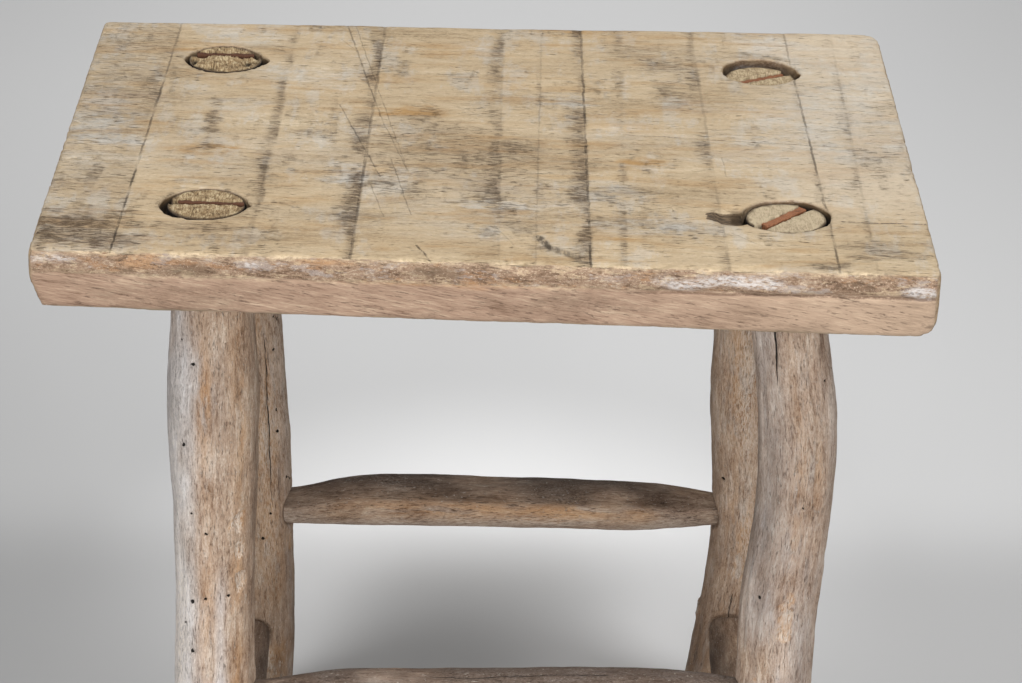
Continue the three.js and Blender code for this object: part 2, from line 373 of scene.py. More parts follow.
def bark_relief(seed, strength):
    """The bumps of a weathered, whittled branch: knife facets, hollows, furrows and raised grain."""

    def relief(grain):
        facets = 0.75 * noise(grain * (0.075, 0.075, 0.018), seed)
        lumps = 0.4 * rough_noise(grain * (0.15, 0.15, 0.055), seed + 1)
        furrows = -0.5 * smooth(noise(grain * (0.3, 0.3, 0.014), seed + 3), 0.25, 0.75)
        ridges = 0.24 * rough_noise(grain * (0.5, 0.5, 0.08), seed + 2)
        return strength * (facets + lumps + furrows + ridges)

    return relief


# Woodworm holes: how many, the side they crowd on in degrees (-90 faces the front), how far they stray
# from it, and the part of the branch that they lie in, as shares of its length.
WORM_HOLES = {
    "leg_front_left": (13, -100, 42, 0.34, 0.95),
    "leg_front_right": (4, -80, 90, 0.3, 0.85),
    "leg_back_left": (16, -40, 50, 0.25, 0.85),
    "leg_back_right": (5, -120, 90, 0.25, 0.7),
    "stretcher_front": (2, -100, 60, 0.3, 0.8),
    "stretcher_back": (3, -140, 60, 0.1, 0.7),
}
# Drying cracks: angles at the upper and lower ends, where those ends are as shares of the length, depth.
CRACKS = {
    "leg_front_left": [(52, 46, 0.8, 0.5, 1.1)],
    "leg_front_right": [(-118, -121, 0.93, 0.8, 2.0), (70, 78, 0.87, 0.47, 1.0)],
    "leg_back_left": [(-50, -55, 0.62, 0.34, 1.1), (120, 112, 0.9, 0.66, 1.0)],
    "leg_back_right": [(60, 66, 0.93, 0.68, 1.2), (-105, -100, 0.25, 0.08, 0.8)],
    "stretcher_back": [(-35, -30, 0.8, 0.4, 0.7)],
    "stretcher_front": [(100, 104, 0.7, 0.3, 0.7)],
}
HOLE_RADII = 0.45, 0.95
HOLE_DEPTH = 1.3
OUT_OF_SIGHT = 9.0  # holes and cracks further off than this are left out of a point's reckoning


def along(branch, share):
    """The height at a share of a branch's length."""
    return branch.low + share * (branch.high - branch.low)


def worm_holes(branch, node):
    """Where a branch's woodworm holes are: angle in degrees, height and radius. The same in each run."""
    count, side, stray, low, high = WORM_HOLES.get(node, (0, 0, 0, 0, 1))
    draw = np.random.default_rng(sum(map(ord, node)))
    angles = side + stray * draw.uniform(-1, 1, count)
    heights = along(branch, draw.uniform(low, high, count))
    return list(zip(angles, heights, draw.uniform(*HOLE_RADII, count)))


def nearest_hole(branch, node, angle, height):
    """Each point's offset from its nearest woodworm hole in that hole's radii, and its distance from it.

    Distances are in millimetres. An offset runs straight from point to point, so that the material can
    draw a round hole in it that is finer than the mesh.
    """
    nearest = np.full((len(angle), 3), OUT_OF_SIGHT)
    for at, level, radius in worm_holes(branch, node):
        aside, above = arc(angle, at, branch.girth(level)), height - level
        found = np.stack([aside / radius, above / radius, np.hypot(aside, above)], -1)
        closer = found[:, 2] < nearest[:, 2]
        nearest[closer] = found[closer]
    return nearest


def nearest_crack(branch, node, grain, angle, height):
    """Each point's signed and plain distance from its nearest drying crack, and that crack's depth."""
    nearest = np.tile([OUT_OF_SIGHT, OUT_OF_SIGHT, 0], (len(angle), 1))
    sway = 0.65 * noise(grain * (0, 0, 0.06), 71) + 0.3 * noise(grain * (0, 0, 0.3), 72)
    for top_angle, low_angle, top_share, low_share, depth in CRACKS.get(node, []):
        top, low = along(branch, top_share), along(branch, low_share)
        share = np.clip((height - low) / (top - low), 0, 1)
        middle = low_angle + (top_angle - low_angle) * share
        aside = arc(angle, middle, branch.mean_radius) + sway
        length = smooth(height, low, low + 0.45 * (top - low)) * smooth(height, top + 3, top)
        found = np.stack([aside, np.abs(aside), depth * length], -1)
        closer = (found[:, 2] > 0) & (found[:, 1] < nearest[:, 1])
        nearest[closer] = found[closer]
    return nearest


def ring_round(points, branch, at_end, radius):
    """How near each point is to the rim of the socket that a stretcher's end sits in."""
    place = branch.centre(np.array([at_end]))[0]
    local = points[:, branch.order]
    far = np.hypot(local[:, 0] - place[0], local[:, 1] - place[1])
    return smooth(far, radius + 2.2, radius + 0.2)


def stretcher_ends(node):
    """The stretchers that meet a leg: (branch, height along it where it enters the leg)."""
    _, depth, side = node.split("_")
    found = []
    for name, end in ((depth, -1 if side == "left" else 1), (side, -1 if depth == "front" else 1)):
        branch = branches["stretcher_" + name]
        entry = branch.low + STRETCHER_INSET if end < 0 else branch.high - STRETCHER_INSET
        found.append((branch, entry))
    return found


def branch_points(branch, angle, height):
    """Points on a branch's smooth wall."""
    wall = branch.radius(height, angle)[:, None] * spokes_at(angle)
    return branch.place(branch.centre(height) + wall, height)


def socket_rims(node, angle, height):
    """1 beside a stretcher's socket, where the leg's wall is cut back and painted dark as shade."""
    if not node.startswith("leg"):
        return np.zeros(len(angle))
    points = branch_points(branches[node], angle, height)
    total = np.zeros(len(angle))
    for branch, at_end in stretcher_ends(node):
        nearer = ring_round(points, branch, at_end, branch.girth(at_end))
        centre = branches[node].centre(height)
        outward = points[:, :2] - centre
        mid = branch.place(branch.centre(np.array([0.0])), np.array([0.0]))[0]
        facing = (outward * (mid[:2] - centre)).sum(1) > 0
        total = np.maximum(total, nearer * facing)
    return total


# ---------------------------------------------------------------- stains, painted shade and painted light on the branches

def stripe(angle, middle, width):
    """1 along a line down a branch, fading to either side of it."""
    return bell(wrapped(angle, middle), width)


def paint_front_left(a, h):
    """Silver on its outer side, with two rusty stripes down the front."""
    grey = np.maximum(1.3 * stripe(a, -165, 58), 0.8 * stripe(a, -76, 10) * smooth(h, 235, 190))
    warm = 0.7 * stripe(a, -97, 12) * smooth(h, 120, 200)
    warm += 0.95 * stripe(a, -50, 12) + 0.4 * stripe(a, 60, 40)
    dark = 0.45 * stripe(a, -20, 16) + 0.35 * smooth(h, 60, 0) + 0.3 * stripe(a, 90, 60)
    white = 0.75 * stripe(a, -150, 32) * smooth(h, 350, 240)
    white += 0.4 * smooth(h, 150, 60) * stripe(a, -100, 60)
    return grey, warm, dark, white


def paint_front_right(a, h):
    """Brown, greyer to the left, with a dark shaded stripe and a rusty one."""
    lower = smooth(h, 260, 160) * (1 - 0.7 * smooth(h, 180, 110))
    grey = 0.15 * stripe(a, -140, 24) + 0.45 * stripe(a, -85, 30) * lower + 0.26
    warm = 0.5 * stripe(a, -60, 12) * bell(h - 265, 50) + 0.35 * stripe(a, -88, 12) + 0.12
    dark = 0.3 * stripe(a, -128, 18) + 0.3 * stripe(a, -66, 10) * smooth(h, 215, 170)
    dark += 0.25 * stripe(a, 90, 60) + 0.35 * smooth(h, 300, 230)
    white = 0.8 * stripe(a, -12, 14) * bell(h - 219, 6) + 0.35 * stripe(a, -75, 16) * bell(h - 275, 25)
    return grey, warm, dark, white


def paint_back_left(a, h):
    """Dark on its right side as painted shade, paler near the seat as painted light, darker towards the
    floor, and rusty near the floor.
    """
    grey = 0.25 * stripe(a, -20, 30) + 0.5 * stripe(a, 120, 50)
    warm = 0.3 + 0.5 * stripe(a, -60, 22) + 0.9 * stripe(a, -56, 24) * bell(h - 42, 14)
    dark = 0.3 * stripe(a, 4, 18) + 0.3 * stripe(a, 90, 60) + 0.55 * smooth(h, 130, 60)
    white = 0.5 * stripe(a, -62, 16) * smooth(h, 220, 140) + 0.4 * smooth(h, 150, 190)
    return grey, warm, dark, white


def paint_back_right(a, h):
    """Dark on its left side as painted shade, paler near the seat as painted light, darker towards the
    floor, with a paler stripe down the front.
    """
    grey = 0.15 + 0.4 * stripe(a, 60, 50)
    warm = 0.45 + 0.4 * stripe(a, -108, 16)
    dark = 0.4 * stripe(a, -178, 28) + 0.3 * stripe(a, 90, 60) + 0.55 * smooth(h, 120, 60)
    white = 0.45 * stripe(a, -95, 16) + 0.25 * smooth(h, 150, 190)
    return grey, warm, dark, white


def paint_front_cross(a, h):
    """Grimy above, where heels have rested."""
    return 0.45 + 0 * a, 0.15 + 0 * a, stripe(a, 95, 75) + 0.45, 0 * a


def paint_back_cross(a, h):
    """Dark above and paler towards the bottom, as painted shade under the seat and painted light below,
    with a warm band at the left.
    """
    grey = 0.15 + 0.2 * stripe(a, 90, 40)
    warm = 0.95 * stripe(a, 172, 26) * smooth(h, -92, -70) * smooth(h, 96, 76)
    dark = 1.1 * smooth(np.abs(wrapped(a, 92)), 70, 54) + 0.05
    white = 0.5 * stripe(a, -155, 26)
    return grey, warm, dark, white


def paint_side(a, h):
    """Dark all over as painted shade under the seat, and a little rusty on one side."""
    return 0.2 + 0 * a, 0.25 * stripe(a, 0, 50), 1.0 + 0 * a, 0 * a


STAINS_SHADE_AND_LIGHT = {
    "leg_front_left": paint_front_left,
    "leg_front_right": paint_front_right,
    "leg_back_left": paint_back_left,
    "leg_back_right": paint_back_right,
    "stretcher_front": paint_front_cross,
    "stretcher_back": paint_back_cross,
    "stretcher_left": paint_side,
    "stretcher_right": paint_side,
}

# How pale each tenon's end is, from 0 to 1, and how torn it is, in millimetres.
PALE_ENDS = {"leg_front_left": 0.1, "leg_front_right": 1.0, "leg_back_left": 0.1, "leg_back_right": 0.5}
TORN = {"leg_front_left": 0.5, "leg_front_right": 0.15, "leg_back_left": 1.9, "leg_back_right": 0.2}


def tenon_end(node, seed):
    """The bumps on a tenon's sawn or broken end."""
    torn = TORN.get(node, 0.1)

    def ends(across):
        flat = np.concatenate([across, np.zeros((len(across), 1))], 1)
        return torn * (rough_noise(flat * 0.2, seed) - 0.5) + 0.3 * torn * noise(flat * 1.1, seed + 5)

    return ends


GAPE = 0.7  # how far each split gapes on the front side of its wedge


def kerf(node):
    """How deep a leg's top is split at each place, from the wedge that fills the split."""
    if not node.startswith("leg"):
        return lambda across: np.zeros(len(across))
    wedge = point_array(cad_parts[node.replace("leg", "wedge")].data) / MM
    upper = wedge[wedge[:, 2] > wedge[:, 2].mean()][:, :2]
    middle = upper.mean(0)
    line = np.linalg.svd(upper - middle, full_matrices=False)[2][0]
    aside = np.array([line[1], -line[0]]) * np.sign(line[0])
    half = np.abs((upper - middle) @ aside).max()

    def slot_depth(across):
        run = (across - middle) @ line
        wander = 0.2 * np.sin(run * 0.9) + 0.15 * np.sin(run * 2.3)
        off = np.abs((across - middle) @ aside - GAPE / 2 + wander)
        return 9 * smooth(off, half + GAPE / 2 + 0.35, half + GAPE / 2)

    return slot_depth


# Chips that a knife or a knock took off: angle, share of the length, half width, half height, depth. A
# depth below 0 makes a lump.
CHIPS = {
    "leg_front_left": [
        (-50, 0.62, 3.5, 6, 1.6), (-60, 0.62, 3, 3, 1.2), (-48, 0.58, 3, 6, 1.6), (-46, 0.54, 3, 7, 1.5),
    ],
    "leg_front_right": [(-84, 0.51, 4, 13, 0.9), (-8, 0.58, 5, 3, 0.7), (-122, 0.4, 4, 8, 0.7)],
    "leg_back_left": [(-57, 0.11, 9, 12, 0.8), (-20, 0.3, 4, 9, 0.6)],
    "leg_back_right": [(-95, 0.55, 4, 12, 0.7), (-104, 0.3, 4, 9, 0.7), (176, 0.2, 6, 6, -1.2)],
}


def chip_marks(branch, node, grain, angle, height):
    """How deep the chips are at each point, in millimetres, with torn edges and ridges inside."""
    total = np.zeros(len(angle))
    torn = 0.35 * rough_noise(grain * 0.3, 75)
    for at, share, width, length, depth in CHIPS.get(node, []):
        aside = arc(angle, at, branch.mean_radius)
        above = height - along(branch, share)
        far = np.hypot(aside / width, above / length)
        ridged = 0.8 + 0.35 * noise(grain * (0.4, 0.4, 0.3), 77)
        total = total + depth * ridged * smooth(far + torn, 1.1, 0.55)
    return total


def finish_branch(node, seed, strength, material):
    """Builds a leg or a stretcher: its worn skin, its stains with painted shade and light, and what its
    material needs to know.
    """
    branch = branches[node]
    bark = bark_relief(seed, strength)
    is_leg = node.startswith("leg")

    def relief(grain, angle, height):
        hole = nearest_hole(branch, node, angle, height)
        crack = nearest_crack(branch, node, grain, angle, height)
        cuts = HOLE_DEPTH * smooth(np.hypot(hole[:, 0], hole[:, 1]), 1.0, 0.6)
        cuts += 0.6 * crack[:, 2] * smooth(crack[:, 1], 0.9, 0.2)
        cuts += 1.1 * socket_rims(node, angle, height) + chip_marks(branch, node, grain, angle, height)
        tenon = smooth(height, SHOULDER, SHOULDER + 3) * is_leg
        return bark(grain) * (1 - 0.75 * tenon) - cuts - 0.25 * tenon

    holes = worm_holes(branch, node)
    mesh, info = branch_mesh(branch, holes, relief, tenon_end(node, seed), kerf(node))
    angle, height, grain, share = info["angle"], info["height"], info["grain"], info["share"]
    patchy = 0.75 + 0.6 * rough_noise(grain * (0.07, 0.07, 0.03), seed + 9)
    grey, warm, dark, white = (channel * patchy for channel in STAINS_SHADE_AND_LIGHT[node](angle, height))
    tenon = smooth(height, SHOULDER - 6, SHOULDER) * is_leg
    # Painted shade: the tenon is darkened where it sits in the mortise.
    grey, dark = grey * (1 - tenon), np.maximum(dark, 0.8 * tenon)
    chips = np.abs(chip_marks(branch, node, grain, angle, height))
    warm = np.maximum(warm, 0.8 * smooth(chips, 0.1, 0.4))
    white = np.maximum(white, 0.9 * smooth(chips, 0.35, 0.8))
    # Painted shade round each stretcher's socket.
    dark = np.maximum(dark, 0.9 * socket_rims(node, angle, height))
    end = smooth(share, 0.985, 0.95)
    top_end = end * (height > branch.high - 0.01) * is_leg
    # Painted shade: the tenon end's torn rim, the floor of its kerf and its sides inside the board are
    # darkened.
    torn_rim_shade = smooth(share + 0.07 * noise(grain * (0.5, 0.5, 0), 76), 0.87, 0.99) * top_end
    hollow_shade = top_end * smooth(info["sunk"], 1.6, 3)
    hollow_shade = np.maximum(hollow_shade, smooth(height, SHOULDER + 3, SHOULDER + 7) * (1 - end) * is_leg)
    zone = np.stack([end, torn_rim_shade, PALE_ENDS.get(node, 0) * top_end, 0 * end], -1)
    hole = nearest_hole(branch, node, angle, height)
    crack = nearest_crack(branch, node, grain, angle, height)
    dress(mesh, grain, np.stack([grey, warm, dark, white], -1), zone, hollow_shade, hole=hole, crack=crack)
    show(node, mesh, material)


# ---------------------------------------------------------------- the seat board

seat_low, seat_high = (np.array(corner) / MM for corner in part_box("seat_plank"))
SEAT_TOP = seat_high[2]
FRONT, BACK = seat_low[1], seat_high[1]
LEFT, LENGTH, DEPTH = seat_low[0], seat_high[0] - seat_low[0], BACK - FRONT
WANE_FOOT = SEAT_TOP - 9.8  # lower edge of the rough band along the front
GOUGE_OFFSET = np.array([-23.0, -1.5])  # the middle of the gouge, from the middle of its tenon
MORTISE_REACH = 32  # how far from a tenon's middle its mortise's wall may be moved
RELIEF_SLANT = 0.17  # slope, in radians, of the ridges in the long sides below the rough band
SEAT_VOXEL, WEDGE_VOXEL = 1.3, 0.42  # cell sizes of the remeshed solids
SEAT_TRIANGLES = 190_000

# Lines where the saw was stopped and started again. Each has its share of the length at the front and
# its drift by the back; how dark, wide and deep it is; how far its dirt spreads and how dark that is.
SawLine = collections.namedtuple("SawLine", "front drift dark half depth spread dirt")
SAW_LINES = [
    SawLine(0.10, 0.00, 0.85, 0.50, 0.35, 9, 0.45),
    SawLine(0.25, 0.00, 0.00, 0.90, 0.12, 11, 0.85),
    SawLine(0.36, 0.00, 0.60, 0.60, 0.40, 12, 1.00),
    SawLine(0.52, -0.01, 0.15, 0.50, 0.15, 14, 0.80),
    SawLine(0.56, 0.00, 0.30, 0.40, 0.10, 4, 0.30),
    SawLine(0.62, -0.01, 0.90, 0.55, 0.40, 13, 0.90),
    SawLine(0.66, 0.00, 0.00, 0.90, 0.08, 8, 0.55),
    SawLine(0.77, -0.02, 0.25, 0.60, 0.15, 8, 0.65),
    SawLine(0.89, -0.02, 0.75, 0.50, 0.35, 5, 0.35),
    SawLine(0.93, 0.00, 0.15, 0.60, 0.10, 5, 0.40),
]


def on_top(share_along, share_back):
    """A place on the top, from shares of the board's length and depth."""
    return LEFT + share_along * LENGTH, FRONT + share_back * DEPTH


def scattered(count, seed, length, width, strength):
    """Stains strewn over the top, the same in each run: (x, y, half length, half width, strength)."""
    draw = np.random.default_rng(seed)
    size = draw.uniform(0.5, 1.4, (2, count))
    x, y = on_top(draw.uniform(0, 1, count), draw.uniform(0, 1, count))
    return list(zip(x, y, length * size[0], width * size[1], strength * draw.uniform(0.5, 1, count)))


def nicks(count, seed):
    """Short scratches strewn over the top, mostly running from back to front."""
    draw = np.random.default_rng(seed)
    starts = np.stack(on_top(draw.uniform(0.05, 0.95, count), draw.uniform(0.1, 0.9, count)), -1)
    runs = np.stack([draw.uniform(-6, 10, count), -draw.uniform(8, 26, count)], -1)
    darks = draw.uniform(0.15, 0.35, count)
    return [(start, start + run, 0.33, dark) for start, run, dark in zip(starts, runs, darks)]


# The long scratches left of the middle, the scar and the cracks: start, end, half width, how dark.
TOP_MARKS = [
    (on_top(0.31, 0.98), on_top(0.37, 0.56), 0.40, 0.60),
    (on_top(0.37, 0.56), on_top(0.41, 0.34), 0.30, 0.45),
    (on_top(0.32, 0.98), on_top(0.41, 0.34), 0.28, 0.40),
    (on_top(0.32, 0.60), on_top(0.38, 0.31), 0.35, 0.55),
    (on_top(0.39, 0.38), on_top(0.42, 0.17), 0.30, 0.50),
    (on_top(0.37, 0.28), on_top(0.39, 0.16), 0.28, 0.40),
    (on_top(0.43, 0.06), on_top(0.45, 0.00), 0.45, 0.90),
    (on_top(0.562, 0.10), on_top(0.575, 0.065), 1.80, 0.95),
    (on_top(0.575, 0.065), on_top(0.608, 0.03), 2.20, 0.70),
    (on_top(0.66, 0.51), on_top(0.94, 0.48), 0.30, 0.55),
    (on_top(0.90, 0.19), on_top(1.00, 0.19), 0.40, 0.90),
] + nicks(6, 5)
GREY_PATCHES = [
    (*on_top(0.04, 0.5), 24, 30, 0.8),
    (*on_top(0.34, 0.32), 14, 18, 0.9),
    (*on_top(0.85, 0.88), 16, 28, 0.8),
    (*on_top(0.85, 0.5), 30, 16, 0.7),
    (*on_top(0.91, 0.6), 34, 66, 0.85),
] + scattered(20, 1, 24, 11, 0.9)
WARM_PATCHES = [
    (*on_top(0.17, 0.4), 20, 7, 1.0),
    (*on_top(0.41, 0.58), 20, 9, 0.85),
    (*on_top(0.46, 0.45), 30, 12, 0.5),
    (*on_top(0.68, 0.4), 13, 5, 0.95),
] + scattered(14, 2, 20, 4, 0.7)
DARK_PATCHES = [
    (*on_top(0.05, 0.08), 40, 24, 1.0),
    (*on_top(0.176, 0.41), 9, 7, 1.0),
    (*on_top(0.172, 0.52), 4, 28, 0.8),
    (*on_top(0.94, 0.07), 16, 6, 0.7),
    (*on_top(0.18, 0.1), 30, 8, 0.6),
    (*on_top(0.45, 0.4), 58, 50, 0.45),
    (*on_top(0.57, 0.06), 9, 3, 0.95),
    (*on_top(0.88, 0.03), 8, 4, 0.9),
] + scattered(14, 3, 15, 9, 0.5)


def on_front(share_along, drop, length, height, strength):
    """A stain on the front face, some way below the top."""
    return (LEFT + share_along * LENGTH, -drop, length, height, strength)


FRONT_WHITE = [
    on_front(0.05, 4, 12, 2, 0.8), on_front(0.25, 4, 4, 2.4, 0.8),
    on_front(0.75, 6, 34, 2.6, 0.95), on_front(0.98, 6, 7, 4.2, 1.0),
]
FRONT_WARM = [
    on_front(0.13, 4, 10, 3, 0.8), on_front(0.33, 2, 12, 1.4, 1.0), on_front(0.48, 10, 60, 1.3, 0.65),
]
FRONT_DARK = [
    on_front(0.19, 6, 10, 2.6, 0.85), on_front(0.45, 5, 16, 2.4, 0.5), on_front(0.6, 17, 34, 5, 0.35),
    on_front(0.15, 17, 60, 8, 0.3),
]

# Gaps round each tenon where the mortise is wider than it: angle in degrees, spread, millimetres.
MORTISE_GAPS = {
    "leg_front_left": [(196, 42, 2.3), (0, 8, 1.6), (262, 44, 0.5)],
    "leg_front_right": [(-2, 30, 1.7), (58, 18, 1.2), (205, 24, 2.0), (270, 50, 0.7)],
    "leg_back_left": [(-6, 12, 3.4), (183, 20, 0.6), (250, 50, 1.2)],
    "leg_back_right": [(-12, 12, 2.6), (160, 40, 0.6)],
}


def saw_line_x(line, y):
    """Where a saw line is at each distance back."""
    return LEFT + LENGTH * (line.front + line.drift * (y - FRONT) / DEPTH)


def gape_at(angle, leg):
    """How far a mortise stands off its tenon at each angle round it."""
    return sum(size * stripe(angle, at, spread) for at, spread, size in MORTISE_GAPS[leg])


def tenon_middle(leg):
    """Where the middle of a leg's tenon is at the seat's top."""
    return branches[leg].centre(np.array([SEAT_TOP]))[0]


def round_tenon(points, leg):
    """Each point's way out from a tenon's middle, distance, angle, and distance past the tenon's wall."""
    off = points[:, :2] - tenon_middle(leg)
    far = np.hypot(off[:, 0], off[:, 1])
    angle = np.arctan2(off[:, 1], off[:, 0])
    return off / far[:, None], far, angle, far - waves_at(angle) @ branches[leg].sections[-1]


def widen_mortises(points):
    """Moves the board's points away from each tenon where the mortise gapes."""
    moved = points.copy()
    uneven = 1 + 0.6 * noise(points * (0.33, 0.33, 0.1), 40)
    upper = smooth(points[:, 2], SEAT_TOP - 14, SEAT_TOP - 4)
    for leg in MORTISE_GAPS:
        out, far, angle, past = round_tenon(points, leg)
        fall = np.exp(-np.maximum(past, 0) / 3.2) * upper * (far < MORTISE_REACH)
        moved[:, :2] += out * (gape_at(angle, leg) * uneven * fall)[:, None]
    return moved


def turned(amount):
    """1 where a face is turned mostly one way, from that way's share of its normal."""
    return smooth(amount, 0.6, 0.9)


def seat_relief(points, facing):
    """How far the board's surface is worn in or raised at each point."""
    x, y, z = points.T
    top, front, under = turned(facing[:, 2]), turned(-facing[:, 1]), turned(-facing[:, 2])
    end = turned(np.abs(facing[:, 0]))
    worn = 0.22 * noise(points * (0.012, 0.03, 0), 1) + 0.1 * rough_noise(points * (0.02, 0.3, 0.3), 2)
    worn += 0.05 * noise(points * (0.06, 0.75, 0.7), 3)
    grooves = np.zeros(len(x))
    for number, line in enumerate(SAW_LINES):
        wander = 0.5 * noise(points * (0, 0.05, 0), 20 + number)
        broken = 0.55 + 0.45 * noise(points * (0, 0.06, 0), 50 + number)
        aside = x - saw_line_x(line, y) - wander
        grooves += line.depth * broken * bell(aside, 1.1)
        grooves += 0.12 * broken * smooth(aside, -line.spread, 0) * (aside < 0)
    relief = top * (worn - grooves)

    to_top, to_front = SEAT_TOP - z, y - FRONT
    arris = bell(np.hypot(to_top, to_front - 1.2), 3.2)
    chips = 2.2 * np.maximum(rough_noise(points * 0.07, 5) - 0.1, 0)
    chips += 1.6 * np.maximum(rough_noise(points * 0.24, 14) - 0.15, 0)
    relief -= arris * (0.2 + chips)
    nibbled = np.maximum(rough_noise(points * 0.22, 6) - 0.25, 0)
    others = bell(to_top, 2.2) * (1 - smooth(facing[:, 2], 0.8, 0.98)) * (1 - front)
    relief -= others * (0.15 + 1.1 * nibbled)
    wane = front * smooth(z, WANE_FOOT - 1, WANE_FOOT + 1)
    lumps = 0.3 * rough_noise(points * (0.06, 0.1, 0.16), 7)
    lumps += 0.28 * rough_noise(points * (0.2, 0.2, 0.4), 13)
    relief += wane * (lumps - 0.1)
    foot = WANE_FOOT + 0.8 * noise(points * (0.05, 0, 0), 8) - 0.7 * smooth(x, 40, 180)
    ledge = bell(z - foot, 0.9) * smooth(x, 55, 80)
    relief -= front * (ledge + 0.25 * bell(z - foot, 1.2) * smooth(x, 80, 20))
    cosine, sine = math.cos(RELIEF_SLANT), math.sin(RELIEF_SLANT)
    slanted = np.stack([0.05 * (x * cosine + z * sine), 0 * x, 0.8 * (z * cosine - x * sine)], -1)
    relief += front * (1 - smooth(z, WANE_FOOT - 1, WANE_FOOT + 1)) * 0.12 * rough_noise(slanted, 9)
    relief += end * 0.16 * rough_noise(points * (0.3, 0.35, 0.35), 10)
    relief += under * (0.3 * rough_noise(points * (0.03, 0.18, 0), 11) - 0.18 * bell(x % 13 - 6.5, 1.4))
    lower = bell(z - (SEAT_TOP - 27), 2.5) * (1 - under)
    relief -= 0.7 * lower * np.maximum(rough_noise(points * 0.1, 12), 0)
    for start, end_of_mark, _, dark in TOP_MARKS:
        relief -= top * 0.45 * dark * bell(mark_distance(x, y, start, end_of_mark), 0.8)
    return relief


def mark_distance(x, y, start, end):
    """How far each point is from a straight mark."""
    start, run = np.array(start), np.subtract(end, start)
    share = np.clip(((x - start[0]) * run[0] + (y - start[1]) * run[1]) / (run @ run), 0, 1)
    return np.hypot(x - start[0] - share * run[0], y - start[1] - share * run[1])


def near_tenons(points, beyond=3.4, within=1.2, tight=1.0):
    """1 in and beside the mortises, falling to 0 between two distances from the tenon.

    Where the tenon fits closely it is only as much as tight.
    """
    total = np.zeros(len(points))
    for leg in MORTISE_GAPS:
        _, _, angle, past = round_tenon(points, leg)
        loose = tight + (1 - tight) * smooth(gape_at(angle, leg), 0.2, 1.1)
        total = np.maximum(total, loose * smooth(past, beyond, within))
    return total


def seat_paint(points, facing):
    """Stains on the board: grey weathering, rust, dirt with painted shade at the mortise rims, and white.
    """
    x, y, z = points.T
    top, front, side = turned(facing[:, 2]), turned(-facing[:, 1]), 1 - turned(np.abs(facing[:, 2]))
    weather = 0.3 * smooth(rough_noise(points * (0.012, 0.03, 0), 60), 0.0, 0.8)
    grey = np.maximum(weather, patches(points, GREY_PATCHES, 61)) + 0.35 * smooth(x, -140, -175)
    dirt = np.zeros(len(x))
    for number, line in enumerate(SAW_LINES):
        aside = x - saw_line_x(line, y) - 0.7 * noise(points * (0, 0.07, 0), 20 + number)
        spread = line.spread * (0.75 + 0.5 * noise(points * (0, 0.035, 0), 80 + number))
        left = smooth(aside, -spread, -0.15 * spread) * smooth(aside, 1.2, -0.4)
        cloud = smooth(rough_noise(points * (0.03, 0.05, 0), 90 + number), -0.55, 0.45)
        dirt = np.maximum(dirt, line.dirt * left * (0.3 + 0.7 * cloud))
    dark = np.maximum(dirt, patches(points, DARK_PATCHES, 62, 0.55))
    first_line = saw_line_x(SAW_LINES[0], y)
    dark = np.maximum(dark, 0.3 * smooth(x, first_line + 1, first_line - 2))
    rust = smooth(rough_noise(points * (0.008, 0.07, 0), 64), 0.1, 0.9)
    warm = patches(points, WARM_PATCHES, 63) + 0.25 * rust
    # Painted shade: the top is darkened just inside the mortises' rims.
    dark = np.maximum(dark, 0.9 * near_tenons(points, tight=0.5) * smooth(SEAT_TOP - z, 0.1, 0.8))
    face = np.stack([x, z - SEAT_TOP, 0 * x], -1)
    return np.stack([
        top * grey + side * 0.2,
        top * warm + front * patches(face, FRONT_WARM, 65),
        top * dark + front * patches(face, FRONT_DARK, 66, 0.6),
        front * patches(face, FRONT_WHITE, 67, 0.6),
    ], -1)


def seat_zone(points, facing):
    """The board's top, its long sides, its end grain, and its pale edges, partly worn and partly a
    painted highlight.
    """
    x, y, z = points.T
    top = smooth(facing[:, 2], 0.55, 0.85)
    long_side = smooth(np.abs(facing[:, 1]), 0.55, 0.85)
    end = smooth(np.abs(facing[:, 0]), 0.6, 0.85)
    broken = 0.6 + 0.9 * rough_noise(points * (0.1, 0.25, 0.25), 30)
    edge = bell(np.hypot(SEAT_TOP - z, y - FRONT - 1.2), 1.8) * broken
    foot = bell(z - WANE_FOOT - 0.9 * noise(points * (0.06, 0, 0), 8), 0.9) * long_side
    broken_foot = foot * smooth(x, 90, 20) * (0.6 + 0.6 * noise(points * (0.09, 0, 0.3), 31))
    # The pale line along the rough band's foot and round the sides' top rim is partly a painted
    # highlight.
    edge = np.maximum(edge, 0.55 * broken_foot)
    rest = bell(SEAT_TOP - z, 1.2) * (1 - top) * 0.5
    return np.stack([top, long_side, end, np.maximum(edge, rest)], -1)


def thin_underside(mesh, triangles):
    """Merges faces on the flat underside, which needs no fine detail."""
    points, facing = point_array(mesh) / MM, point_array(mesh, "normal")
    inner = (facing[:, 2] < -0.97) & (near_tenons(points) < 0.01)
    share = triangles / (2 * len(mesh.polygons))
    settings = {"vertex_group": CHOSEN, "vertex_group_factor": 1000, "ratio": share}
    return evaluated(mesh, ("DECIMATE", settings), chosen=np.flatnonzero(inner).tolist())


def build_seat(material):
    """Builds the seat board: its worn shape, its stains and the painted shade in its mortises."""
    mesh = thin_underside(even_mesh("seat_plank", SEAT_VOXEL, 3), SEAT_TRIANGLES)
    points, facing = point_array(mesh) / MM, point_array(mesh, "normal")
    relief = seat_relief(points, facing)
    move_points(mesh, widen_mortises(points + facing * relief[:, None]))
    grain = points[:, [1, 2, 0]]
    # Painted shade in the mortises, which the material paints dark.
    sunk = near_tenons(points, 7, 5, 0.65) * (points[:, 2] > SEAT_TOP - 24)
    dress(mesh, grain, seat_paint(points, facing), seat_zone(points, facing), sunk)
    show("seat_plank", mesh, material)


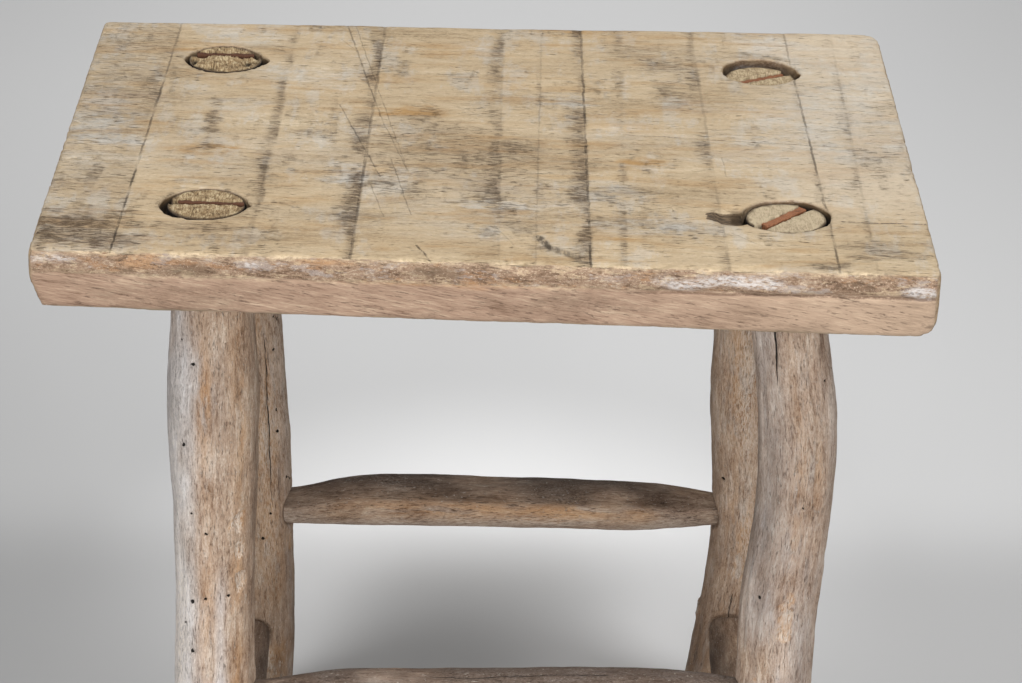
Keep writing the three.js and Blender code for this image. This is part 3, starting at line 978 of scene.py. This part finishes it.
WEDGE_DIRT = {
    "wedge_front_left": 0.75, "wedge_front_right": 0, "wedge_back_left": 0.8, "wedge_back_right": 0.2,
}


def build_wedge(node, seed, material):
    """Builds one wedge, split along its fibres and torn at the top."""
    mesh = even_mesh(node, WEDGE_VOXEL, 2)
    points, facing = point_array(mesh) / MM, point_array(mesh, "normal")
    split = 0.12 * rough_noise(points * (0.9, 0.9, 0.08), seed)
    torn = 0.3 * rough_noise(points * (0.6, 0.6, 0), seed + 1) * smooth(facing[:, 2], 0.3, 0.8)
    move_points(mesh, points + facing * (split + torn - 0.1)[:, None])
    flat = np.zeros((len(points), 4))
    paint = flat + (0, 0, WEDGE_DIRT[node], 0)
    dress(mesh, points, paint, flat, flat[:, 0])
    show(node, mesh, material)


# ---------------------------------------------------------------- materials

WOOD_GLOSS, FLOOR_GLOSS = 0.25, 0.1


def linear(screen_colour):
    """A screen colour, each part from 0 to 255, as the linear colour that a material takes."""
    channels = [c / 255 for c in screen_colour]
    return (*(c / 12.92 if c <= 0.04045 else ((c + 0.055) / 1.055) ** 2.4 for c in channels), 1)


class Field:
    """A number, vector or colour that a material works out at each point, with arithmetic."""

    def __init__(self, shader, socket):
        self.shader, self.socket = shader, socket

    def math(self, operation, *others, clamp=False):
        """The field after a Math node, with the other numbers or fields that it needs."""
        values = dict(enumerate((self, *others)))
        node = self.shader.node("Math", values, operation=operation, use_clamp=clamp)
        return Field(self.shader, node.outputs[0])

    def vector(self, operation, *others):
        """The field after a VectorMath node: a vector, or a number where that is what it gives."""
        values = dict(enumerate((self, *others)))
        node = self.shader.node("VectorMath", values, operation=operation)
        is_number = operation in ("LENGTH", "DISTANCE", "DOT_PRODUCT")
        return Field(self.shader, node.outputs["Value" if is_number else "Vector"])

    def __add__(self, other):
        return self.math("ADD", other)

    def __sub__(self, other):
        return self.math("SUBTRACT", other)

    def __mul__(self, other):
        return self.math("MULTIPLY", other)

    __radd__, __rmul__ = __add__, __mul__

    def __rsub__(self, other):
        return self.math("MULTIPLY_ADD", -1, other)

    def largest(self, other):
        return self.math("MAXIMUM", other)

    def clamped(self):
        return self.math("ADD", 0, clamp=True)

    def rise(self, low, high):
        """0 at low, 1 at high, and smooth between them."""
        node = self.shader.node("MapRange", {0: self, 1: low, 2: high}, interpolation_type="SMOOTHSTEP")
        return Field(self.shader, node.outputs[0])

    def parts(self):
        node = self.shader.node("SeparateXYZ", {0: self})
        return [Field(self.shader, output) for output in node.outputs]

    def noise(self, scale, seed=0, detail=3, rough=0.6, warp=0, output="Fac"):
        """Noise that swings about once in each 1 / scale millimetres along each axis."""
        offset = (seed * 7.13, seed * 3.71, seed * 5.37)
        node = self.shader.node("VectorMath", {0: self, 1: scale, 2: offset}, operation="MULTIPLY_ADD")
        values = {"Vector": Field(self.shader, node.outputs[0]), "Scale": 1.0}
        values.update({"Detail": detail, "Roughness": rough, "Distortion": warp})
        return Field(self.shader, self.shader.node("TexNoise", values).outputs[output])


class Shader:
    """A material's node tree, written as sums of fields."""

    def __init__(self, name, specular):
        self.material = bpy.data.materials.new(name)
        self.material.use_nodes = True
        self.tree = self.material.node_tree
        self.surface = self.tree.nodes["Principled BSDF"]
        self.surface.inputs["Specular IOR Level"].default_value = specular

    def node(self, kind, values, **settings):
        """A new shader node, with its inputs fed and its settings made."""
        node = self.tree.nodes.new("ShaderNode" + kind)
        for key, value in settings.items():
            setattr(node, key, value)
        for key, value in values.items():
            self.feed(node.inputs[key], value)
        return node

    def feed(self, socket, value):
        """Links a field to a node's input, or sets the input to a plain value."""
        if isinstance(value, Field):
            self.tree.links.new(value.socket, socket)
        else:
            socket.default_value = value

    def attribute(self, name, output="Vector"):
        """What is stored at a mesh's points under a name."""
        node = self.node("Attribute", {}, attribute_name=name)
        return Field(self, node.outputs[output])

    def stains(self, name):
        """The four numbers of a painted attribute."""
        node = self.node("Attribute", {}, attribute_name=name)
        return [*Field(self, node.outputs["Vector"]).parts(), Field(self, node.outputs["Alpha"])]

    def combine(self, **axes):
        """A vector from numbers or fields, given by the names of its axes."""
        return Field(self, self.node("CombineXYZ", axes).outputs[0])

    def mix(self, first, second, share):
        """Goes from one colour to another by a share from 0 to 1. Each is a field or a screen colour."""
        first, second = (v if isinstance(v, Field) else linear(v) for v in (first, second))
        node = self.node("Mix", {0: share, 6: first, 7: second}, data_type="RGBA", clamp_factor=True)
        return Field(self, node.outputs[2])

    def tones(self, value, dark, middle, light):
        """Three colours by a value from 0 to 1."""
        lower = self.mix(dark, middle, value.rise(0.12, 0.52))
        return self.mix(lower, light, value.rise(0.48, 0.92))

    def finish(self, base, roughness, height, depth):
        """Connects the surface. depth is the height field's full swing, in millimetres."""
        bump = self.node("Bump", {"Strength": 1.0, "Distance": depth * MM, "Height": height})
        self.feed(self.surface.inputs["Base Color"], base)
        self.feed(self.surface.inputs["Roughness"], roughness)
        self.feed(self.surface.inputs["Normal"], Field(self, bump.outputs[0]))
        return self.material


def end_grain(shader, grain, pale):
    """The colour and height of a branch's end: torn fibres, pores and only a hint of rings."""
    across = grain.vector("MULTIPLY", (1, 1, 0))
    sway = across.noise((0.2, 0.2, 0), 3, 3).math("MULTIPLY", 5)
    rings = (across.vector("LENGTH") * 2.6 + sway).math("SINE")
    lumps = across.noise((0.28, 0.28, 0), 4, 4, 0.65)
    tufts = across.noise((1.3, 0.32, 0), 5, 5, 0.72, 0.5)
    pores = across.noise((1.9, 1.9, 0), 6, 4, 0.75)
    tone = 0.03 * rings + 1.5 * lumps + 2.2 * tufts + 0.5 * pores - 1.55 + 0.22 * pale
    base = shader.tones(tone, (78, 58, 36), (160, 133, 96), (216, 196, 158))
    specks = pores.rise(0.6, 0.68)
    base = shader.mix(base, (58, 45, 30), specks * (0.6 - 0.3 * pale))
    base = shader.mix(base, (208, 192, 166), pale * 0.5)
    return base, 0.8 * lumps + 1.2 * tufts + 0.8 * pores


def fine_marks(shader):
    """Round woodworm holes and thin cracks, drawn from each point's offset to the nearest one, and
    painted dark as shade.
    """
    offset = shader.attribute("hole")
    radii = offset.vector("MULTIPLY", (1, 1, 0)).vector("LENGTH")
    hole = radii.rise(1.12, 0.88) * offset.parts()[2].rise(3.2, 2.6)
    across, away, depth = shader.attribute("crack").parts()
    gap = across.math("ABSOLUTE") - 0.22 * depth
    crack = gap.rise(0.16, -0.1) * away.rise(4, 3) * depth.rise(0.05, 0.35)
    return hole.largest(crack)


def branch_material(name, dark, middle, light, dark_weight):
    """Bare weathered wood with fibres along the branch. dark_weight is how strongly the dark channel
    shows, which holds dirt and painted shade.
    """
    shader = Shader(name, WOOD_GLOSS)
    grain = shader.attribute("grain")
    grey, warm, darkening, white = shader.stains("paint")
    end, torn_rim_shade, pale, _ = shader.stains("zone")
    # Painted shade: hollows, woodworm holes and cracks are painted near black.
    hollow_shade = shader.attribute("hollow_shade", "Fac").largest(fine_marks(shader) * 0.96)

    streaks = grain.noise((0.5, 0.5, 0.06), 1, 5, 0.62)
    fibres = grain.noise((2.0, 2.0, 0.3), 2, 4, 0.75)
    crackle = grain.noise((1.5, 1.5, 0.8), 9, 4, 0.75)
    blotches = grain.noise((0.07, 0.07, 0.04), 3, 4, 0.62)
    tone = 1.1 * streaks + 1.2 * fibres + 0.7 * crackle + blotches - 1.5
    brown = shader.tones(tone, dark, middle, light)
    silver = shader.tones(tone, (150, 142, 138), (207, 200, 197), (237, 234, 233))
    base = shader.mix(brown, silver, grey * (0.7 + 0.9 * blotches))
    rust = shader.mix((168, 118, 72), (220, 176, 128), tone)
    rusty = warm * grain.noise((0.25, 0.25, 0.05), 6, 4).rise(0.32, 0.56)
    base = shader.mix(base, rust, rusty * 0.85)
    # The white channel is weathered whitening, and painted light on the back legs' upper parts.
    chalk = fibres.rise(0.38, 0.6)
    base = shader.mix(base, (230, 218, 204), white * chalk * 0.9)
    # The dark channel holds dirt, and painted shade on shaded sides, sockets and tenons.
    darkened = darkening * (dark_weight - 0.45 + 0.25 * streaks + 1.2 * crackle)
    base = shader.mix(base, (66, 50, 38), darkened)

    dashes = grain.noise((1.7, 1.7, 0.22), 7, 4, 0.72).rise(0.58, 0.68)
    base = shader.mix(base, (92, 72, 58), dashes * 0.55)
    scuffs = grain.noise((1.0, 1.0, 0.4), 8, 4, 0.66).rise(0.6, 0.7)
    base = shader.mix(base, (234, 224, 212), scuffs * 0.42)
    sawn, sawn_height = end_grain(shader, grain, pale)
    base = shader.mix(base, sawn, end)
    # Painted shade round the rim of each tenon's end.
    base = shader.mix(base, (70, 54, 36), torn_rim_shade * 0.55)
    base = shader.mix(base, (17, 12, 9), hollow_shade)

    side_height = 0.6 * streaks + 0.8 * fibres + 0.5 * crackle - 0.6 * dashes + 0.35 * scuffs
    height = side_height * (1 - end) + sawn_height * end * 1.3
    roughness = 0.86 + 0.12 * (fibres - 0.5)
    return shader.finish(base, roughness, height, 0.6)


def wedge_material():
    """Split reddish wood, with coarse fibres down the wedge."""
    shader = Shader("wedge_wood", WOOD_GLOSS)
    grain = shader.attribute("grain")
    fibres = grain.noise((1.6, 1.6, 0.3), 1, 4, 0.7)
    darkening = grain.noise((0.35, 0.35, 0.2), 2, 3, 0.6)
    base = shader.tones(fibres, (78, 47, 33), (150, 100, 71), (193, 146, 110))
    base = shader.mix(base, (48, 34, 26), darkening.rise(0.52, 0.75) * 0.6)
    base = shader.mix(base, (62, 40, 30), shader.stains("paint")[2])
    return shader.finish(base, 0.8 + 0.1 * (fibres - 0.5), fibres, 0.5)


def mark_strength(shader, flat, start, end, half, dark):
    """How dark a straight mark is at each point."""
    start, run = Vector((*start, 0)), Vector((*end, 0)) - Vector((*start, 0))
    off = flat.vector("SUBTRACT", start)
    share = off.vector("DOT_PRODUCT", run / run.length_squared).clamped()
    far = off.vector("DISTANCE", shader.combine(X=share * run.x, Y=share * run.y))
    return far.rise(half * 1.5, half * 0.5) * dark


def seat_top_colour(shader, place, grain, stains):
    """The colour and height of the top: straw-coloured dashes, worn columns, grey weathering and rust."""
    grey, warm, darkening, _ = stains
    broad = grain.noise((0.04, 0.04, 0.012), 1, 4, 0.6)
    streaks = grain.noise((0.32, 0.32, 0.05), 2, 5, 0.68)
    fibres = grain.noise((1.5, 1.5, 0.24), 3, 5, 0.76)
    crackle = grain.noise((1.0, 1.0, 0.6), 8, 5, 0.74)
    tone = 1.1 * broad + 0.8 * streaks + 0.7 * fibres + 0.6 * crackle - 1.12
    straw = shader.tones(tone, (155, 134, 104), (190, 169, 138), (211, 193, 164))
    silver = shader.tones(tone, (155, 147, 136), (192, 185, 173), (218, 212, 202))
    columns = place.noise((0.11, 0.028, 0), 14, 4, 0.66)
    regions = place.noise((0.024, 0.03, 0), 15, 4, 0.62)
    worn = (0.5 * columns + 0.5 * regions).rise(0.51, 0.62)
    bleached = 0.5 * place.noise((0.1, 0.035, 0), 16, 5, 0.7) + 0.5 * place.noise((0.03, 0.03, 0), 17)
    cloud = grain.noise((0.14, 0.14, 0.07), 4, 5, 0.7)
    silvered = grey * cloud.rise(0.34, 0.62) + 0.5 * bleached.rise(0.51, 0.6)
    base = shader.mix(straw, silver, silvered)
    rust = shader.mix((146, 108, 66), (196, 162, 112), tone)
    ochre = place.noise((0.02, 0.11, 0), 18, 5, 0.66).rise(0.5, 0.66)
    base = shader.mix(base, rust, warm * cloud.rise(0.32, 0.62) + 0.42 * ochre)

    x, y, _ = place.parts()
    base = shader.mix(base, (224, 214, 198), 0.3 * x.rise(95, 160) * y.rise(-100, -50))
    dark_weight = grain.noise((0.7, 0.7, 0.22), 5, 5, 0.74)
    smear = darkening * (0.3 + dark_weight.rise(0.38, 0.62)) * (0.35 + 1.2 * columns) * 0.65 + 0.1 * worn
    base = shader.mix(base, (110, 93, 75), smear)
    pores = grain.noise((1.5, 1.5, 0.19), 6, 5, 0.74)
    flecks = (pores + 0.1 * darkening + 0.06 * worn + 0.01 * grey).rise(0.6, 0.7)
    base = shader.mix(base, (102, 78, 55), flecks * 0.5)
    bright = grain.noise((0.8, 0.8, 0.25), 7, 5, 0.7).rise(0.59, 0.7)
    base = shader.mix(base, (222, 209, 186), bright * 0.38)
    return base, 0.4 * streaks + 0.9 * fibres + 0.6 * crackle - 0.9 * flecks


def seat_marks(shader, place):
    """How dark the lines in the top are: saw lines, scratches, the scar and cracks."""
    wander = place.noise((0.12, 0.12, 0), 11, 4, 0.65, output="Color").vector("SUBTRACT", (0.5, 0.5, 0.5))
    flat = place.vector("MULTIPLY", (1, 1, 0)).vector("ADD", wander.vector("MULTIPLY", (2.0, 2.0, 0)))
    broken = place.noise((0.3, 0.06, 0), 12, 5, 0.7).rise(0.36, 0.6)
    lines = None
    for saw in SAW_LINES:
        if saw.dark:
            ends = [(saw_line_x(saw, y), y) for y in (FRONT, BACK)]
            line = mark_strength(shader, flat, *ends, saw.half, saw.dark)
            lines = line if lines is None else lines.largest(line)
    lines = lines * (0.15 + 0.85 * broken) * (1 - 0.5 * place.parts()[1].rise(0, BACK))
    skips = place.noise((0.5, 0.16, 0), 13, 4, 0.7).rise(0.36, 0.56)
    scratches = None
    for start, end, half, dark in TOP_MARKS:
        mark = mark_strength(shader, flat, start, end, half, dark)
        scratches = mark if scratches is None else scratches.largest(mark)
    return lines.largest(scratches * (0.3 + 0.7 * skips))


def add_gouge(shader, base, place):
    """The slip of the chisel that runs out to the left of the front-right mortise: dark and hatched."""
    x, y = GOUGE_OFFSET + tenon_middle("leg_front_right")
    run, across, _ = place.vector("SUBTRACT", (x, y, 0)).parts()
    ragged = 1.8 * (place.noise((0.5, 0.6, 0), 36, 4, 0.7) - 0.5)
    off = (across - 0.1 * run + 0.8).math("ABSOLUTE") - 0.1 * run + ragged
    off = off + (-0.5 * run - 3.8).largest(0)
    inside = off.rise(5.6, 4.8) * (run.math("ABSOLUTE") + 1.5 * ragged).rise(11, 10.2)
    hatch = place.noise((0.22, 1.5, 0), 37, 4, 0.75).rise(0.42, 0.6) * run.rise(9, 3)
    return shader.mix(base, shader.mix((46, 36, 26), (122, 102, 80), hatch), inside * 0.94)


def seat_side_colour(shader, place, stains):
    """The colour and height of the long sides: a rough band above slanting fibres."""
    _, warm, darkening, white = stains
    slope = math.radians(9)
    x, _, z = place.parts()
    slanted = shader.combine(
        X=x * math.cos(slope) - z * math.sin(slope), Z=x * math.sin(slope) + z * math.cos(slope)
    )
    streaks = slanted.noise((0.05, 0.05, 0.7), 21, 5, 0.65)
    fibres = slanted.noise((0.2, 0.2, 1.9), 22, 4, 0.7)
    blotches = place.noise((0.03, 0.03, 0.09), 23, 3, 0.6)
    tone = streaks + 0.9 * fibres + 0.8 * blotches - 0.86
    lower = shader.tones(tone, (120, 94, 76), (166, 138, 117), (198, 173, 148))
    # Painted light: the lower front is lighter towards the right.
    lower = shader.mix(lower, (206, 182, 156), x.rise(40, 180) * 0.42)
    sway = 3.2 * (place.noise((0.05, 0, 0), 28, 5, 0.7) - 0.5)
    lumps = place.noise((0.12, 0.12, 0.3), 24, 5, 0.74)
    rough = 0.5 * lumps + 0.5 * place.noise((0.6, 0.6, 1.2), 27, 5, 0.76)
    bark = shader.tones(2.8 * rough - 0.95, (104, 81, 63), (153, 127, 105), (198, 178, 155))
    flakes = place.noise((0.08, 0.08, 0.22), 29, 5, 0.72)
    bark = shader.mix(bark, (200, 176, 145), flakes.rise(0.55, 0.6) * 0.55)
    bark = shader.mix(bark, (160, 118, 80), flakes.rise(0.43, 0.39) * 0.45)
    chalky = place.noise((0.06, 0.06, 0.16), 30, 5, 0.72)
    bark = shader.mix(bark, (172, 162, 156), chalky.rise(0.55, 0.61) * 0.5)
    bark = shader.mix(bark, (104, 84, 66), chalky.rise(0.43, 0.38) * 0.55)
    is_upper = (z + sway).rise(WANE_FOOT - 0.5, WANE_FOOT + 0.5)
    base = shader.mix(lower, bark, is_upper)
    grit = place.noise((1.1, 1.1, 1.5), 35, 4, 0.75)
    base = shader.mix(base, (98, 72, 52), grit.rise(0.57, 0.66) * is_upper * 0.55)
    base = shader.mix(base, (226, 206, 180), grit.rise(0.43, 0.34) * is_upper * 0.6)
    ragged = rough.rise(0.38, 0.58)
    base = shader.mix(base, (182, 136, 90), warm * ragged * 0.7)
    base = shader.mix(base, (82, 68, 50), darkening * ragged * 0.8)
    chalk = place.noise((0.4, 0.4, 0.9), 25, 4, 0.7).rise(0.34, 0.6)
    base = shader.mix(base, (214, 208, 204), white * chalk * 0.85)
    pores = slanted.noise((0.16, 0.16, 1.5), 26, 3, 0.7).rise(0.6, 0.7)
    base = shader.mix(base, (96, 72, 58), pores * 0.5)
    # Painted shadow: a dark line under the rough band's ledge.
    ledge = (z + sway - WANE_FOOT + 0.8).math("ABSOLUTE").rise(0.9, 0.2) * x.rise(40, 84)
    base = shader.mix(base, (92, 68, 52), ledge * rough.rise(0.36, 0.5) * 0.7)
    return base, 0.8 * fibres + 0.5 * streaks + 0.8 * rough * is_upper - 0.5 * pores


def seat_end_colour(shader, place):
    """The colour and height of the sawn ends: curved growth rings, saw marks and checks."""
    rings_from = place.vector("SUBTRACT", (0, -20, SEAT_TOP - 95)).vector("MULTIPLY", (0, 1, 1))
    sway = place.noise((0, 0.05, 0.05), 31, 3)
    rings = (rings_from.vector("LENGTH") * 1.9 + 7 * sway).math("SINE")
    speckle = place.noise((0.9, 0.9, 0.9), 32, 5, 0.75)
    saw = place.noise((0.2, 0.9, 0.05), 33, 4, 0.6)
    tone = 0.12 * rings + 0.8 * speckle + 0.6 * saw - 0.2
    base = shader.tones(tone, (112, 88, 66), (168, 142, 112), (200, 180, 150))
    checks = place.noise((0.1, 0.75, 0.09), 34, 3, 0.6).rise(0.62, 0.7)
    base = shader.mix(base, (64, 48, 36), checks * 0.6)
    return base, 0.3 * rings + 0.8 * speckle + 0.5 * saw - 0.5 * checks


def seat_material():
    """The board's wood: its top, its long sides, its sawn ends and the walls of its mortises, painted
    dark there as shade, with pale edges partly painted as highlight.
    """
    shader = Shader("seat_wood", WOOD_GLOSS)
    grain = shader.attribute("grain")
    back, up, along_board = grain.parts()
    place = shader.combine(X=along_board, Y=back, Z=up)
    stains = shader.stains("paint")
    top, side, end, edge = shader.stains("zone")

    base, height = seat_top_colour(shader, place, grain, stains)
    marks = seat_marks(shader, place) * top
    base = shader.mix(base, (46, 36, 28), marks * 0.85)
    base = add_gouge(shader, base, place)
    under = shader.mix(base, (112, 96, 78), 0.55)
    base = shader.mix(under, base, top)
    side_base, side_height = seat_side_colour(shader, place, stains)
    end_base, end_height = seat_end_colour(shader, place)
    base = shader.mix(base, side_base, side)
    base = shader.mix(base, end_base, end)
    height = height * (1 - side) * (1 - end) + side_height * side + end_height * end
    # Pale edges: partly worn wood, partly a painted highlight.
    worn = place.noise((0.3, 0.3, 0.6), 41, 5, 0.72)
    base = shader.mix(base, (224, 202, 168), edge * worn.rise(0.36, 0.6) * 0.95)
    # Painted shade: the mortise walls below the top are painted dark, darker with depth.
    sunk = up.rise(SEAT_TOP - 0.55, SEAT_TOP - 1.5) * shader.attribute("hollow_shade", "Fac")
    wall = shader.mix((82, 63, 40), (24, 17, 11), up.rise(SEAT_TOP - 1.2, SEAT_TOP - 3.6))
    base = shader.mix(base, wall, sunk * 0.95)
    roughness = 0.8 + 0.16 * (worn - 0.5)
    return shader.finish(base, roughness, height, 0.5)


# ---------------------------------------------------------------- the stage

FLOOR_REACH = 14.0  # half the floor's side, in metres
SKY_STRENGTH = 0.22


def build_floor():
    """A plain pale floor that reaches past the edge of every view, its tone graded by position as painted
    light and shade.
    """
    mesh = bpy.data.meshes.new("floor")
    signs = [(-1, -1, 0), (1, -1, 0), (1, 1, 0), (-1, 1, 0)]
    mesh.from_pydata([FLOOR_REACH * Vector(sign) for sign in signs], [], [(0, 1, 2, 3)])
    shader = Shader("studio_floor", FLOOR_GLOSS)
    place = Field(shader, shader.node("NewGeometry", {}).outputs["Position"])
    x, y, _ = place.parts()
    # Painted light and shade: the tone is darker to the sides, towards the front left and far back,
    # raised in a pool of painted light round the stool, and darkest in a painted shadow under the seat.
    painted_shade_left = place.vector("DISTANCE", (-0.55, 0.05, 0)).rise(0.95, 0.1)
    aside = x.math("ABSOLUTE").rise(0.05, 0.55)
    painted_light_pool = place.vector("DISTANCE", (0, 0.22, 0)).rise(0.26, 0.08)
    painted_shadow = place.vector("DISTANCE", (-0.02, 0.14, 0)).rise(0.12, 0.01)
    tone = 0.65 - 0.12 * aside - 0.2 * painted_shade_left - 0.06 * y.rise(0.5, 1.2)
    tone = tone + 0.29 * painted_light_pool - 0.37 * painted_shadow
    shader.feed(shader.surface.inputs["Base Color"], shader.combine(X=tone, Y=tone, Z=tone))
    shader.surface.inputs["Roughness"].default_value = 0.9
    mesh.materials.append(shader.material)
    new_object("floor", mesh)


def softbox(name, place, size, power, target=(0, 0, 0.25)):
    """A square soft light, aimed at the stool unless told otherwise. Metres and watts."""
    lamp = bpy.data.lights.new(name, "AREA")
    lamp.shape, lamp.size, lamp.energy = "SQUARE", size, power
    light = new_object(name, lamp)
    light.location = place
    light.rotation_euler = (Vector(target) - Vector(place)).to_track_quat("-Z", "Y").to_euler()


def build_world():
    """A faint even light from all round."""
    world = bpy.data.worlds.new("studio")
    world.use_nodes = True
    sky = world.node_tree.nodes["Background"]
    sky.inputs["Color"].default_value = (1, 1, 1, 1)
    sky.inputs["Strength"].default_value = SKY_STRENGTH
    bpy.context.scene.world = world


# The camera stands in front of the stool and above it, and is tipped a little to one side. Its place is
# in metres, its angles in degrees, and its lens and sensor in millimetres.
CAMERA_PLACE = (0.021, -1.1858, 0.9063)
CAMERA_PITCH = 28.0
CAMERA_YAW = 0.41
CAMERA_ROLL = 1.5
CAMERA_LENS, CAMERA_SENSOR = 103.1, 36


def build_camera():
    """The scene's camera, at the photo's viewing angle."""
    data = bpy.data.cameras.new("camera")
    data.lens, data.sensor_width = CAMERA_LENS, CAMERA_SENSOR
    camera = new_object("camera", data)
    turn = (
        Matrix.Rotation(math.radians(CAMERA_YAW), 4, "Z")
        @ Matrix.Rotation(math.radians(90 - CAMERA_PITCH), 4, "X")
        @ Matrix.Rotation(math.radians(CAMERA_ROLL), 4, "Z")
    )
    camera.matrix_world = Matrix.Translation(CAMERA_PLACE) @ turn
    bpy.context.scene.camera = camera


def build_stage():
    """The floor, the lights and the way colours are shown."""
    build_floor()
    build_world()
    softbox("key_left", (-0.85, -0.75, 2.5), 0.5, 27)
    softbox("key_right", (0.85, -0.7, 2.5), 0.5, 27)
    softbox("fill", (0.2, 3.2, 1.5), 1.8, 11)
    softbox("front", (0.1, -3.0, 1.05), 1.8, 64)
    softbox("backdrop", (0.1, 0.7, 2.2), 1.4, 25, (0.1, 2.2, 1.65))
    bpy.context.scene.view_settings.view_transform = "Standard"


# ---------------------------------------------------------------- the stool

LEGS = ["leg_front_left", "leg_front_right", "leg_back_left", "leg_back_right"]
CROSS = ["stretcher_front", "stretcher_back"]
SIDE = ["stretcher_left", "stretcher_right"]
LEG_SEED, STRETCHER_SEED, WEDGE_SEED, SEED_STEP = 100, 200, 300, 11
LEG_RELIEF, STRETCHER_RELIEF = 1.0, 0.7  # how strong the bumps are

branches = {node: Branch(node, axis) for axis, nodes in zip("zxy", (LEGS, CROSS, SIDE)) for node in nodes}


def build_stool():
    """Builds all the pieces."""
    leg_wood = branch_material("leg_wood", (118, 91, 70), (178, 152, 130), (216, 198, 179), 0.3)
    rail_wood = branch_material("stretcher_wood", (102, 78, 60), (162, 134, 110), (202, 180, 156), 0.5)
    wedge_wood = wedge_material()
    for number, node in enumerate(LEGS):
        finish_branch(node, LEG_SEED + SEED_STEP * number, LEG_RELIEF, leg_wood)
        build_wedge(node.replace("leg", "wedge"), WEDGE_SEED + number, wedge_wood)
    for number, node in enumerate(CROSS + SIDE):
        seed = STRETCHER_SEED + SEED_STEP * number
        finish_branch(node, seed, STRETCHER_RELIEF, rail_wood)
    build_seat(seat_material())


build_stool()
build_stage()
build_camera()
